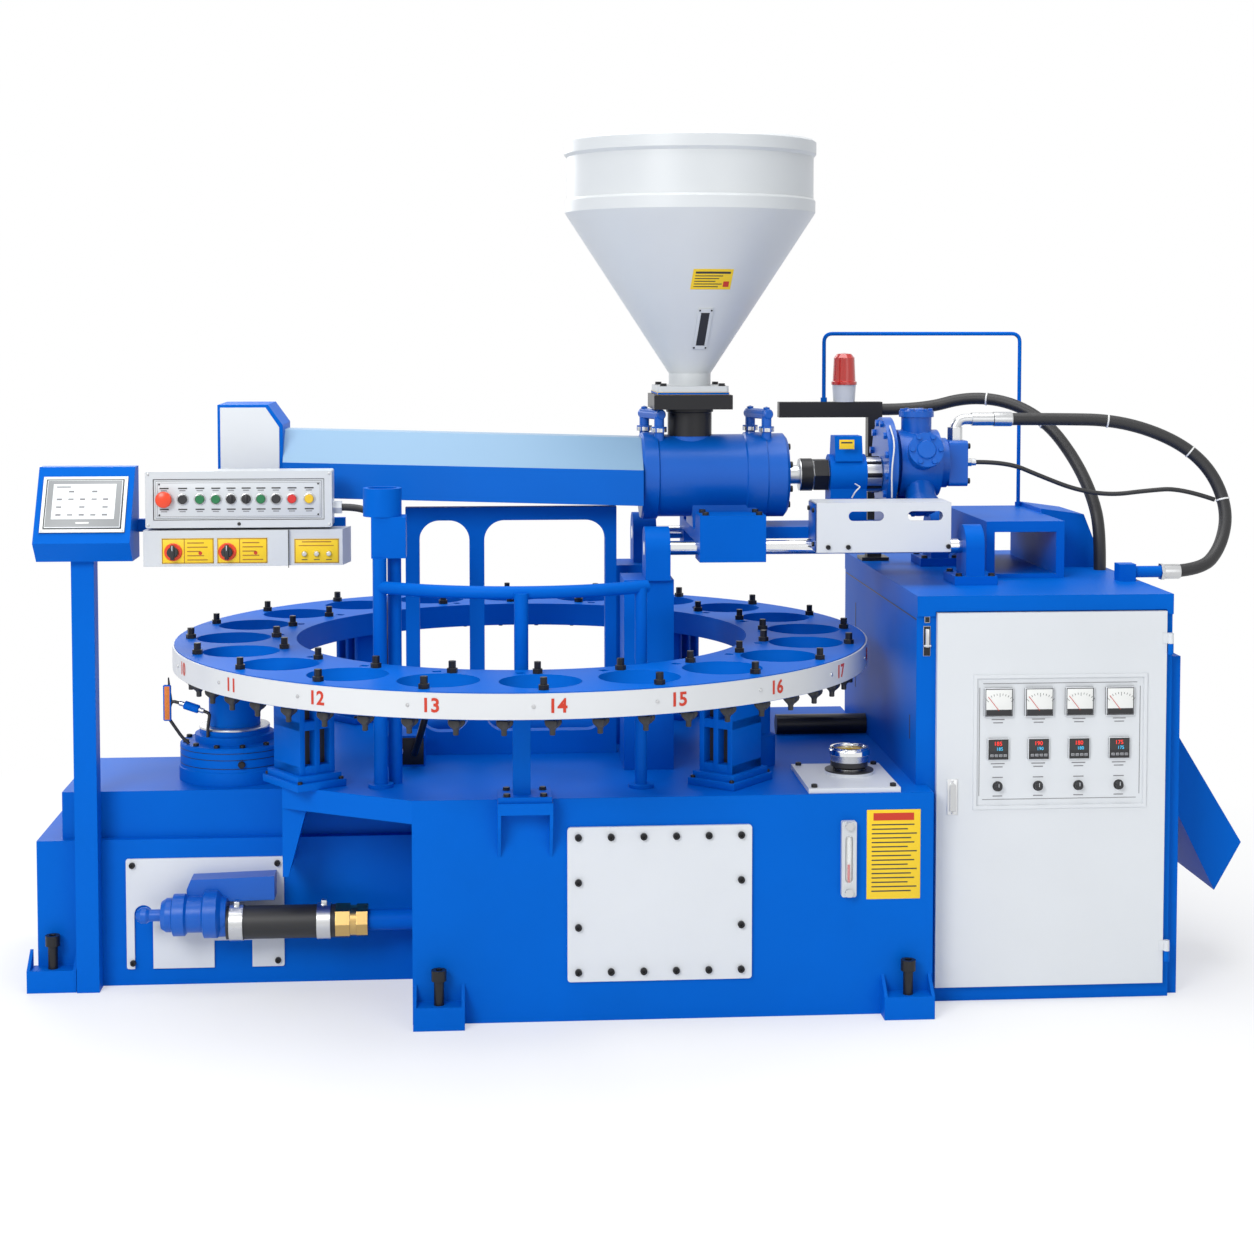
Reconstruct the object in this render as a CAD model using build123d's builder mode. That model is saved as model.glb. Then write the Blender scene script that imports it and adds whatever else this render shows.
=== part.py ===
from build123d import *
import os
from math import atan2, cos, degrees, hypot, pi, radians, sin, tan

os.makedirs("parts", exist_ok=True)

# Rotary injection moulding machine, in millimetres
# The origin is on the floor, on the axis of the turntable. +X runs along the injection unit
# towards its motor, -Y is the operator's side and +Z is up.

# Clearances
run_fit = 0.05
slip = 0.3
air = 2.0

# Turntable
ring_radius = 900.0
ring_width = 310.0
ring_bore = ring_radius - ring_width
ring_top = 852.0
ring_plate = 22.0
rim_height = 62.0
skirt = 12.0
band_thickness = 5.0
station_count = 20
station_start = 1.8
seat_radius = 96.0
seat_sleeve = 5.0
seat_ledge = 52.0
seat_circle = ring_radius - seat_ledge - seat_radius
sleeve_drop = 14.0
pin_inset = 14.0
knob_count = 50
knob_start = 3.1
knob_reach = 36.0
index_offset = 3.6
index_circle = ring_bore + 46.0
index_pin_radius = 10.0

# Machine base
deck_top = 540.0
deck_lip = 56.0
base_left = -277.0
base_right = 950.0
base_front = -576.0
base_back = 576.0
apron_right = 977.0
wing_left = 154.0 - seat_circle
wing_front = -389.0
left_end = -1225.0
left_front = -221.0
left_back = 250.0
left_step = 372.0
left_top = 490.0
step_inset = 25.0
foot_height = 56.0
foot_length = 122.0
foot_depth = 50.0
bolt_radius = 12.0

# Cabinet
cabinet_left = base_right
cabinet_right = 1588.0
cabinet_front = -492.0
cabinet_back = 504.0
cabinet_top = 1006.0
cabinet_wall = 4.0
lid_height = 50.0
door_left = 998.0
door_right = 1569.0
door_bottom = 39.0
door_top = 965.0
door_depth = 17.0
door_sheet = 3.0
hinge_radius = 7.0
side_cover_top = 847.0
side_cover_depth = 29.0

# Injection unit
unit_y = -seat_circle * cos(radians(90 - station_start))
unit_z = 1270.0
housing_left = 309.0
housing_right = 694.0
housing_radius = 108.0
barrel_radius = 45.0
screw_radius = 32.5
barrel_left = -600.0
slide_travel = 55.0
rod_radius = 18.0
rod_z = 1100.0
rod_spread = 206.0
hopper_x = 440.0
hopper_radius = 325.0
hopper_wall = 4.0
motor_left = 948.0
motor_z = 1300.0

# Operator panel
panel_front = -300.0
screen_tilt = 30.0


def station_angle(index):
    """Angle of one mould seat, in degrees from +X."""
    return station_start - 90 + index * 360 / station_count


def around(radius, angle):
    """Point of the plan at one radius and angle."""
    return (radius * cos(radians(angle)), radius * sin(radians(angle)))


# Turntable ring: plate with a rim, an inner skirt, a row of sleeved mould seats and the
# square slots for the index bolt
plate_bottom = ring_top - ring_plate
rim_bottom = ring_top - rim_height
slot_start = station_start - 90 - index_offset
slot_side = 2 * (index_pin_radius + slip)
index_angle = station_angle(4) - index_offset

with BuildPart() as turntable_ring:
    with BuildSketch(Plane.XY.offset(plate_bottom)):
        Circle(ring_radius)
        Circle(ring_bore, mode=Mode.SUBTRACT)
        with PolarLocations(seat_circle, station_count, start_angle=station_start - 90):
            Circle(seat_radius, mode=Mode.SUBTRACT)
        with PolarLocations(index_circle, station_count, start_angle=slot_start):
            Rectangle(slot_side, slot_side, rotation=-index_angle, mode=Mode.SUBTRACT)
    extrude(amount=ring_plate)
    with BuildSketch(Plane.XY.offset(plate_bottom)):
        with PolarLocations(seat_circle, station_count, start_angle=station_start - 90):
            Circle(seat_radius + seat_sleeve)
            Circle(seat_radius, mode=Mode.SUBTRACT)
    extrude(amount=-sleeve_drop)
    with BuildSketch(Plane.XY.offset(rim_bottom)):
        Circle(ring_radius)
        Circle(ring_radius - skirt, mode=Mode.SUBTRACT)
    extrude(amount=rim_height - ring_plate)
    with BuildSketch(Plane.XY.offset(rim_bottom)):
        Circle(ring_bore + skirt)
        Circle(ring_bore, mode=Mode.SUBTRACT)
    extrude(amount=rim_height - ring_plate)
turntable_ring.part.label = "turntable_ring"
export_step(turntable_ring.part, "parts/turntable_ring.step")

# Number band round the rim
with BuildPart() as number_band:
    with BuildSketch(Plane.XY.offset(rim_bottom + 2)):
        Circle(ring_radius + band_thickness)
        Circle(ring_radius + slip, mode=Mode.SUBTRACT)
    extrude(amount=rim_height - 4)
number_band.part.label = "number_band"
export_step(number_band.part, "parts/number_band.step")

# Locating pins: one outside and one inside each seat
pin_height = 28.0
nut_height = 11.0
outer_pins = seat_circle + seat_radius + pin_inset
inner_pins = seat_circle - seat_radius - pin_inset

with BuildPart() as seat_pins:
    for pin_circle in (inner_pins, outer_pins):
        with BuildSketch(Plane.XY.offset(ring_top)):
            with PolarLocations(pin_circle, station_count, start_angle=station_start - 90):
                RegularPolygon(13, 6)
        extrude(amount=nut_height)
        with BuildSketch(Plane.XY.offset(ring_top + nut_height)):
            with PolarLocations(pin_circle, station_count, start_angle=station_start - 90):
                RegularPolygon(9, 6)
        extrude(amount=pin_height - nut_height)
seat_pins.part.label = "seat_pins"
export_step(seat_pins.part, "parts/seat_pins.step")

# Star knobs that clamp the mould seats from below the rim
knob_circle = ring_radius - knob_reach
knob_lobes = 5
knob_outer = 21.0
knob_inner = 13.0
knob_stem = 8.0
knob_body = 20.0
knob_drop = 81.0
stem_length = knob_drop - knob_body - 17

with BuildPart() as star_knobs:
    with BuildSketch(Plane.XY.offset(plate_bottom)):
        with PolarLocations(knob_circle, knob_count, start_angle=knob_start - 90):
            RegularPolygon(knob_stem, 6)
    extrude(amount=-stem_length)
    with BuildSketch(Plane.XY.offset(plate_bottom - stem_length)):
        with PolarLocations(knob_circle, knob_count, start_angle=knob_start - 90):
            Polygon(
                *[
                    around(knob_outer if turn % 2 == 0 else knob_inner, turn * 180 / knob_lobes)
                    for turn in range(2 * knob_lobes)
                ],
                align=None,
            )
    extrude(amount=-knob_body)
    with BuildSketch(Plane.XY.offset(plate_bottom - stem_length - knob_body)):
        with PolarLocations(knob_circle, knob_count, start_angle=knob_start - 90):
            RegularPolygon(knob_stem + 2, 6)
    extrude(amount=-(knob_drop - stem_length - knob_body))
star_knobs.part.label = "star_knobs"
export_step(star_knobs.part, "parts/star_knobs.step")

# Front base: box with a deck plate that reaches out to the left as a wing
cover_left = 92.0
cover_right = 535.0
cover_bottom = 97.0
cover_top = 471.0
cover_thickness = 8.0
cover_margin = 38.0
bracket_left = -74.0
bracket_right = 57.0
bracket_front = base_front - 50.0
gusset = 8.0
pump_axis_y = -300.0
sleeve_z = 178.0
pipe_radius = 26.0
feet_front = base_front - 22.0


def foot(centre_x, wall_y, outward):
    """One levelling foot on a wall: a block with two ears and a hole for its bolt."""
    tip_y = wall_y + outward * foot_depth
    with BuildPart() as block:
        with BuildSketch(Plane.XY):
            with Locations((centre_x, (wall_y + tip_y) / 2)):
                Rectangle(foot_length, foot_depth)
            with Locations((centre_x, wall_y + outward * bolt_standoff)):
                Circle(bolt_radius + slip, mode=Mode.SUBTRACT)
        extrude(amount=foot_height)
        for side in (-1, 1):
            ear_x = centre_x + side * (foot_length / 2 - gusset / 2)
            with BuildSketch(Plane.YZ.offset(ear_x - gusset / 2)):
                with BuildLine():
                    Polyline(
                        (tip_y, foot_height),
                        (wall_y, foot_height),
                        (wall_y, foot_height + 42),
                        close=True,
                    )
                make_face()
            extrude(amount=gusset)
    return block.part


bolt_standoff = 26.0
front_bolts = [(-214.0, base_front), (912.0, base_front)]
rear_bolts = [(-214.0, base_back), (860.0, base_back)]
left_bolts = [(-1183.0, left_front), (-1183.0, left_back)]
front_feet = [foot(x, y, -1) for x, y in front_bolts] + [foot(x, y, 1) for x, y in rear_bolts]
left_feet = [foot(*left_bolts[0], -1), foot(*left_bolts[1], 1)]

with BuildPart() as front_base:
    with BuildSketch(Plane.XY):
        with BuildLine():
            Polyline(
                (base_left, base_front),
                (apron_right, base_front),
                (apron_right, cabinet_front - 1),
                (base_right, cabinet_front - 1),
                (base_right, base_back),
                (base_left, base_back),
                close=True,
            )
        make_face()
    extrude(amount=deck_top - deck_lip)
    with BuildSketch(Plane.XY.offset(deck_top - deck_lip)):
        with BuildLine():
            Polyline(
                (base_left, base_front),
                (apron_right, base_front),
                (apron_right, cabinet_front - 1),
                (base_right, cabinet_front - 1),
                (base_right, base_back),
                (wing_left, base_back),
                (wing_left, wing_front),
                close=True,
            )
        make_face()
    extrude(amount=deck_lip)
    # Gusset under the wing
    with BuildSketch(Plane.XZ.offset(-wing_front)):
        with BuildLine():
            Polyline(
                (wing_left, deck_top - deck_lip),
                (wing_left + 60, deck_top - deck_lip),
                (wing_left + 14, deck_top - deck_lip - 170),
                (wing_left, deck_top - deck_lip - 170),
                close=True,
            )
        make_face()
    extrude(amount=-(left_front - wing_front))
    # Inspection opening behind the front cover
    with BuildSketch(Plane.XZ.offset(-base_front)):
        with Locations(((cover_left + cover_right) / 2, (cover_bottom + cover_top) / 2)):
            RectangleRounded(
                cover_right - cover_left - 2 * cover_margin,
                cover_top - cover_bottom - 2 * cover_margin,
                20,
            )
    extrude(amount=-60, mode=Mode.SUBTRACT)
    # Bracket under the middle post
    with BuildSketch(Plane.XY.offset(deck_top)):
        with Locations(((bracket_left + bracket_right) / 2, (bracket_front + base_front) / 2 + 25)):
            Rectangle(bracket_right - bracket_left, base_front - bracket_front + 50)
    extrude(amount=-28)
    for ear_left in (bracket_left, bracket_right - gusset):
        with BuildSketch(Plane.YZ.offset(ear_left)):
            with BuildLine():
                Polyline(
                    (base_front, deck_top - 28),
                    (bracket_front, deck_top - 28),
                    (bracket_front + 6, deck_top - 60),
                    (base_front, deck_top - 140),
                    close=True,
                )
            make_face()
        extrude(amount=gusset)
    # Suction pipe, welded into the left wall
    with BuildSketch(Plane.YZ.offset(base_left)):
        with Locations((pump_axis_y, sleeve_z)):
            Circle(pipe_radius)
    extrude(amount=-118)
    add(front_feet)
front_base.part.label = "front_base"
export_step(front_base.part, "parts/front_base.step")

# Left base: a stepped box that carries the clamp cylinder
with BuildPart() as left_base:
    with BuildSketch(Plane.XZ.offset(-left_front)):
        with BuildLine():
            Polyline(
                (left_end, 0),
                (base_left, 0),
                (base_left, left_step),
                (left_end, left_step),
                close=True,
            )
        make_face()
    extrude(amount=-(left_back - left_front))
    with BuildSketch(Plane.XZ.offset(-(left_front + step_inset))):
        with BuildLine():
            Polyline(
                (left_end + 60, left_step),
                (base_left, left_step),
                (base_left, deck_top - deck_lip),
                (wing_left, deck_top - deck_lip),
                (wing_left, left_top),
                (left_end + 60, left_top),
                close=True,
            )
        make_face()
    extrude(amount=-(left_back - left_front - 2 * step_inset))
    add(left_feet)
left_base.part.label = "left_base"
export_step(left_base.part, "parts/left_base.step")

# Levelling bolts: socket heads, one in each foot
bolt_places = [(x, y - bolt_standoff) for x, y in front_bolts]
bolt_places += [(x, y + bolt_standoff) for x, y in rear_bolts]
bolt_places += [(left_bolts[0][0], left_front - bolt_standoff)]
bolt_places += [(left_bolts[1][0], left_back + bolt_standoff)]
bolt_top = 140.0
bolt_head = 26.0

with BuildPart() as levelling_bolts:
    with BuildSketch(Plane.XY):
        with Locations(*bolt_places):
            Circle(bolt_radius)
    extrude(amount=bolt_top - bolt_head)
    with BuildSketch(Plane.XY.offset(bolt_top - bolt_head)):
        with Locations(*bolt_places):
            Circle(bolt_radius * 1.5)
    extrude(amount=bolt_head)
    with BuildSketch(Plane.XY.offset(bolt_top)):
        with Locations(*bolt_places):
            RegularPolygon(bolt_radius * 0.8, 6)
    extrude(amount=-12, mode=Mode.SUBTRACT)
levelling_bolts.part.label = "levelling_bolts"
export_step(levelling_bolts.part, "parts/levelling_bolts.step")

# Front cover with the holes for its sixteen screws
screw_rows = [cover_left + 26 + step * (cover_right - cover_left - 52) / 5 for step in range(6)]
screw_spots = [(x, z) for x in screw_rows for z in (cover_bottom + 24, cover_top - 24)]
cover_third = (cover_top - cover_bottom - 48) / 3
side_heights = (cover_bottom + 24 + cover_third, cover_top - 24 - cover_third)
screw_spots += [(x, z) for x in (screw_rows[0], screw_rows[-1]) for z in side_heights]

with BuildPart() as front_cover:
    with BuildSketch(Plane.XZ.offset(-base_front)):
        with Locations(((cover_left + cover_right) / 2, (cover_bottom + cover_top) / 2)):
            RectangleRounded(cover_right - cover_left, cover_top - cover_bottom, 8)
        with Locations(*screw_spots):
            RegularPolygon(5.5, 6, mode=Mode.SUBTRACT)
    extrude(amount=cover_thickness)
front_cover.part.label = "front_cover"
export_step(front_cover.part, "parts/front_cover.step")

# Oil level gauge: a frame with a sight tube window
gauge_x = 769.0
gauge_bottom = 292.0
gauge_top = 476.0
gauge_width = 36.0

with BuildPart() as level_gauge:
    with BuildSketch(Plane.XZ.offset(-base_front)):
        with Locations((gauge_x, (gauge_bottom + gauge_top) / 2)):
            RectangleRounded(gauge_width, gauge_top - gauge_bottom, 5)
    extrude(amount=16)
    with BuildSketch(Plane.XZ.offset(-base_front + 16)):
        with Locations((gauge_x, (gauge_bottom + gauge_top) / 2)):
            SlotOverall(gauge_top - gauge_bottom - 70, gauge_width - 18, rotation=90)
    extrude(amount=-9, mode=Mode.SUBTRACT)
level_gauge.part.label = "level_gauge"
export_step(level_gauge.part, "parts/level_gauge.step")

# Tank cover on the deck, with the filler neck
tank_x = 786.0
tank_y = -425.0
tank_width = 224.0
tank_depth = 286.0
tank_thickness = 12.0
filler_x = 802.0
filler_y = -398.0
neck_radius = 30.0
neck_height = 34.0

with BuildPart() as tank_cover:
    with BuildSketch(Plane.XY.offset(deck_top)):
        with Locations((tank_x, tank_y)):
            Rectangle(tank_width, tank_depth)
    extrude(amount=tank_thickness)
    with BuildSketch(Plane.XY.offset(deck_top + tank_thickness)):
        with Locations((filler_x, filler_y)):
            Circle(neck_radius + 30)
    extrude(amount=8)
    with BuildSketch(Plane.XY.offset(deck_top + tank_thickness + 8)):
        with Locations((filler_x, filler_y)):
            Circle(neck_radius)
            Circle(neck_radius - 4, mode=Mode.SUBTRACT)
    extrude(amount=neck_height)
tank_cover.part.label = "tank_cover"
export_step(tank_cover.part, "parts/tank_cover.step")

# Filler cap: a bayonet cap that turns on the neck
cap_base = deck_top + tank_thickness + 8
cap_rise = 58.0

with BuildPart() as filler_cap:
    with BuildSketch(Plane.XZ.offset(-filler_y)):
        with BuildLine():
            Polyline(
                (filler_x, cap_base + neck_height + slip),
                (filler_x + neck_radius + slip, cap_base + neck_height + slip),
                (filler_x + neck_radius + slip, cap_base + slip),
                (filler_x + neck_radius + 6, cap_base + slip),
                (filler_x + neck_radius + 6, cap_base + 18),
                (filler_x + 46, cap_base + 24),
                (filler_x + 48, cap_base + cap_rise - 4),
                (filler_x + 44, cap_base + cap_rise),
                (filler_x + 38, cap_base + cap_rise),
                (filler_x + 36, cap_base + cap_rise - 8),
                (filler_x, cap_base + cap_rise - 8),
                close=True,
            )
        make_face()
    revolve(axis=Axis((filler_x, filler_y, 0), (0, 0, 1)))
filler_cap.part.label = "filler_cap"
export_step(filler_cap.part, "parts/filler_cap.step")

# Pump cover: the plate behind the pump, with a slot and a cut-out
pump_plate_left = -1004.0
pump_plate_right = -610.0
pump_plate_bottom = 43.0
pump_plate_top = 324.0
pump_plate_thickness = 6.0

with BuildPart() as pump_cover:
    with BuildSketch(Plane.XZ.offset(-left_front)):
        with Locations(
            (
                (pump_plate_left + pump_plate_right) / 2,
                (pump_plate_bottom + pump_plate_top) / 2,
            )
        ):
            RectangleRounded(pump_plate_right - pump_plate_left, pump_plate_top - pump_plate_bottom, 6)
        with Locations((pump_plate_left + 43, pump_plate_bottom + 40)):
            SlotCenterToCenter(200, 46, rotation=90, mode=Mode.SUBTRACT)
        with Locations((pump_plate_right - 128, pump_plate_bottom + 34)):
            Rectangle(95, 70, mode=Mode.SUBTRACT)
    extrude(amount=pump_plate_thickness)
pump_cover.part.label = "pump_cover"
export_step(pump_cover.part, "parts/pump_cover.step")

# Hydraulic pump: a cast body with a mounting foot, an end cap and a ball-jointed inlet
pump_left = -905.0
pump_right = -745.0
pump_radius = 52.0
pump_z = 200.0
ball_radius = 21.0
ball_x = pump_left - 44.0
foot_back = left_front - pump_plate_thickness

with BuildPart() as hydraulic_pump:
    with BuildSketch(Plane.XZ.offset(-pump_axis_y)):
        with BuildLine():
            Polyline(
                (ball_x, pump_z),
                (ball_x - ball_radius, pump_z),
                (ball_x - 0.8 * ball_radius, pump_z + 0.6 * ball_radius),
                (ball_x - 0.3 * ball_radius, pump_z + 0.95 * ball_radius),
                (ball_x + 0.3 * ball_radius, pump_z + 0.95 * ball_radius),
                (ball_x + 0.7 * ball_radius, pump_z + 0.7 * ball_radius),
                (pump_left, pump_z + 0.7 * ball_radius),
                (pump_left, pump_z + 34),
                (pump_left + 12, pump_z + 42),
                (pump_left + 26, pump_z + 42),
                (pump_left + 30, pump_z + pump_radius),
                (pump_left + 58, pump_z + pump_radius),
                (pump_left + 64, pump_z + 44),
                (pump_left + 100, pump_z + 44),
                (pump_left + 106, pump_z + pump_radius + 6),
                (pump_right - 22, pump_z + pump_radius + 6),
                (pump_right - 12, pump_z + 44),
                (pump_right, pump_z + 40),
                (pump_right, pump_z),
                close=True,
            )
        make_face()
    revolve(axis=Axis((0, pump_axis_y, pump_z), (1, 0, 0)))
    # Foot block against the pump cover, and the outlet block above
    with BuildSketch(Plane.XZ.offset(-foot_back)):
        with BuildLine():
            Polyline(
                (pump_left + 60, pump_z - 30),
                (pump_right, pump_z - 30),
                (pump_right, pump_z + 28),
                (-628, pump_z + 30),
                (-628, pump_z + 90),
                (pump_left + 70, pump_z + 84),
                (pump_left + 60, pump_z + 60),
                close=True,
            )
        make_face()
    extrude(amount=foot_back - pump_axis_y - 12)
    # Outlet towards the suction sleeve
    with BuildSketch(Plane.YZ.offset(pump_right - 20)):
        with Locations((pump_axis_y, sleeve_z)):
            Circle(34)
    extrude(amount=20)
hydraulic_pump.part.label = "hydraulic_pump"
export_step(hydraulic_pump.part, "parts/hydraulic_pump.step")

# Suction sleeve: the rubber sleeve between the pump and the pipe, with its clamps and union
sleeve_left = pump_right
sleeve_right = -475.0
sleeve_radius = 41.0
pipe_end = base_left - 118.0

with BuildPart() as suction_sleeve:
    with BuildSketch(Plane.YZ.offset(sleeve_left)):
        with Locations((pump_axis_y, sleeve_z)):
            Circle(sleeve_radius)
    extrude(amount=sleeve_right - sleeve_left)
suction_sleeve.part.label = "suction_sleeve"
export_step(suction_sleeve.part, "parts/suction_sleeve.step")

with BuildPart() as pipe_unions:
    for clamp_x in (sleeve_left + 8, sleeve_right - 46):
        with BuildSketch(Plane.YZ.offset(clamp_x)):
            with Locations((pump_axis_y, sleeve_z)):
                Circle(sleeve_radius + 3)
                Circle(sleeve_radius + slip, mode=Mode.SUBTRACT)
        extrude(amount=34)
    with BuildSketch(Plane.YZ.offset(sleeve_right)):
        with Locations((pump_axis_y, sleeve_z)):
            RegularPolygon(44, 8)
    extrude(amount=(pipe_end - sleeve_right) * 0.45)
    with BuildSketch(Plane.YZ.offset(sleeve_right + (pipe_end - sleeve_right) * 0.45)):
        with Locations((pump_axis_y, sleeve_z)):
            Circle(38)
    extrude(amount=(pipe_end - sleeve_right) * 0.2)
    with BuildSketch(Plane.YZ.offset(sleeve_right + (pipe_end - sleeve_right) * 0.65)):
        with Locations((pump_axis_y, sleeve_z)):
            RegularPolygon(42, 8)
    extrude(amount=(pipe_end - sleeve_right) * 0.35)
pipe_unions.part.label = "pipe_unions"
export_step(pipe_unions.part, "parts/pipe_unions.step")

# Cabinet: a sheet box with a door opening, a lid and a cover on its right side
opening_margin = 8.0
opening_left = door_left + opening_margin
opening_right = door_right - opening_margin
opening_bottom = door_bottom + opening_margin
opening_top = door_top - opening_margin
hinge_x = door_right + hinge_radius + 1.5
hinge_y = cabinet_front - door_depth - 3.0
hinge_heights = (120.0, 885.0)
hinge_half = 26.0
pin_radius = 3.5
port_x = 1560.0
port_y = -222.0
port_height = 22.0
port_reach = 90.0

with BuildPart() as cabinet_body:
    with BuildSketch(Plane.XY):
        with Locations(((cabinet_left + cabinet_right) / 2, (cabinet_front + cabinet_back) / 2)):
            Rectangle(cabinet_right - cabinet_left, cabinet_back - cabinet_front)
    extrude(amount=cabinet_top)
    with BuildSketch(Plane.XY.offset(cabinet_top - lid_height)):
        with Locations(((cabinet_left + cabinet_right) / 2, (cabinet_front + cabinet_back) / 2)):
            Rectangle(cabinet_right - cabinet_left, cabinet_back - cabinet_front + 16)
    extrude(amount=lid_height)
    with BuildSketch(Plane.XY.offset(cabinet_wall)):
        with Locations(((cabinet_left + cabinet_right) / 2, (cabinet_front + cabinet_back) / 2)):
            Rectangle(
                cabinet_right - cabinet_left - 2 * cabinet_wall,
                cabinet_back - cabinet_front - 2 * cabinet_wall,
            )
    extrude(amount=cabinet_top - 2 * cabinet_wall, mode=Mode.SUBTRACT)
    with BuildSketch(Plane.XZ.offset(-cabinet_front)):
        with Locations(((opening_left + opening_right) / 2, (opening_bottom + opening_top) / 2)):
            Rectangle(opening_right - opening_left, opening_top - opening_bottom)
    extrude(amount=-(cabinet_wall + 1), mode=Mode.SUBTRACT)
    # The lid clears the top of the door
    with BuildSketch(Plane.XZ.offset(-cabinet_front + 9)):
        with Locations(((door_left + door_right) / 2, cabinet_top - lid_height)):
            Rectangle(door_right - door_left + 6, 24)
    extrude(amount=-9, mode=Mode.SUBTRACT)
    # Side cover
    with BuildSketch(Plane.XY):
        with Locations((cabinet_right + side_cover_depth / 2, (cabinet_front + 22 + 300) / 2)):
            Rectangle(side_cover_depth, 300 - cabinet_front - 22)
    extrude(amount=side_cover_top)
    # Return port on the lid: a block with the hose nipple
    with BuildSketch(Plane.XY.offset(cabinet_top)):
        with Locations((port_x - 8, port_y)):
            Rectangle(44, 44)
    extrude(amount=port_height + 22)
    with BuildSketch(Plane.YZ.offset(port_x)):
        with Locations((port_y, cabinet_top + port_height)):
            Circle(15)
    extrude(amount=port_reach)
    # Fixed hinge halves with their pins
    for hinge_z in hinge_heights:
        with BuildSketch(Plane.XY.offset(hinge_z - hinge_half)):
            with Locations((hinge_x, hinge_y)):
                Circle(hinge_radius)
            with Locations((hinge_x + 1, (hinge_y + cabinet_front) / 2)):
                Rectangle(8, cabinet_front - hinge_y)
        extrude(amount=hinge_half)
        with BuildSketch(Plane.XY.offset(hinge_z)):
            with Locations((hinge_x, hinge_y)):
                Circle(pin_radius)
        extrude(amount=hinge_half - 4)
cabinet_body.part.label = "cabinet_body"
export_step(cabinet_body.part, "parts/cabinet_body.step")

# Mounting plate inside the cabinet, with its rows of control gear
plate_y = 60.0
gear_rows = (330.0, 560.0, 770.0)

with BuildPart() as mounting_plate:
    with BuildSketch(Plane.XZ.offset(-plate_y)):
        with Locations(((cabinet_left + cabinet_right) / 2, (opening_bottom + opening_top) / 2)):
            Rectangle(
                cabinet_right - cabinet_left - 2 * (cabinet_wall + slip),
                opening_top - opening_bottom,
            )
    extrude(amount=-3)
    for row_z in gear_rows:
        with BuildSketch(Plane.XZ.offset(-plate_y)):
            with Locations(((opening_left + opening_right) / 2, row_z)):
                with GridLocations(86, 1, 5, 1):
                    Rectangle(62, 96)
        extrude(amount=78)
mounting_plate.part.label = "mounting_plate"
export_step(mounting_plate.part, "parts/mounting_plate.step")

# Door: a folded pan with a window for the instrument panel and its hinge knuckles
door_front = cabinet_front - 1.0 - door_depth
window_left = 1097.0
window_right = 1512.0
window_bottom = 490.0
window_top = 804.0
window_lap = 8.0
lock_x = 1037.0
lock_z = 513.0
lock_height = 88.0

with BuildPart() as cabinet_door:
    with BuildSketch(Plane.XZ.offset(-door_front)):
        with Locations(((door_left + door_right) / 2, (door_bottom + door_top) / 2)):
            Rectangle(door_right - door_left, door_top - door_bottom)
    extrude(amount=-door_depth)
    with BuildSketch(Plane.XZ.offset(-(door_front + door_sheet))):
        with Locations(((door_left + door_right) / 2, (door_bottom + door_top) / 2)):
            Rectangle(door_right - door_left - 6, door_top - door_bottom - 6)
    extrude(amount=-door_depth, mode=Mode.SUBTRACT)
    with BuildSketch(Plane.XZ.offset(-door_front)):
        with Locations(((window_left + window_right) / 2, (window_bottom + window_top) / 2)):
            Rectangle(window_right - window_left, window_top - window_bottom)
    extrude(amount=-door_depth, mode=Mode.SUBTRACT)
    # Frame round the window
    with BuildSketch(Plane.XZ.offset(-door_front)):
        with Locations(((window_left + window_right) / 2, (window_bottom + window_top) / 2)):
            Rectangle(window_right - window_left + 18, window_top - window_bottom + 18)
            Rectangle(window_right - window_left, window_top - window_bottom, mode=Mode.SUBTRACT)
    extrude(amount=3)
    # Lock plate
    with BuildSketch(Plane.XZ.offset(-door_front)):
        with Locations((lock_x, lock_z)):
            Rectangle(26, lock_height)
    extrude(amount=3)
    # Hinge knuckles on their leaves
    for hinge_z in hinge_heights:
        with BuildSketch(Plane.XY.offset(hinge_z + slip)):
            with Locations((hinge_x, hinge_y)):
                Circle(hinge_radius)
            with Locations(((hinge_x + door_right) / 2 - 6, door_front + 1)):
                Rectangle(hinge_x - door_right + 10, 4)
            with Locations((hinge_x, hinge_y)):
                Circle(pin_radius + run_fit, mode=Mode.SUBTRACT)
        extrude(amount=hinge_half)
cabinet_door.part.label = "cabinet_door"
export_step(cabinet_door.part, "parts/cabinet_door.step")

# Instrument panel behind the door's window, and the instruments in it
column_xs = [1150.0 + step * 100.7 for step in range(4)]
meter_z = 745.0
controller_z = 629.0
knob_z = 537.0
meter_side = 72.0
controller_side = 54.0
panel_sheet = 3.0
panel_y = door_front + door_sheet

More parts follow.
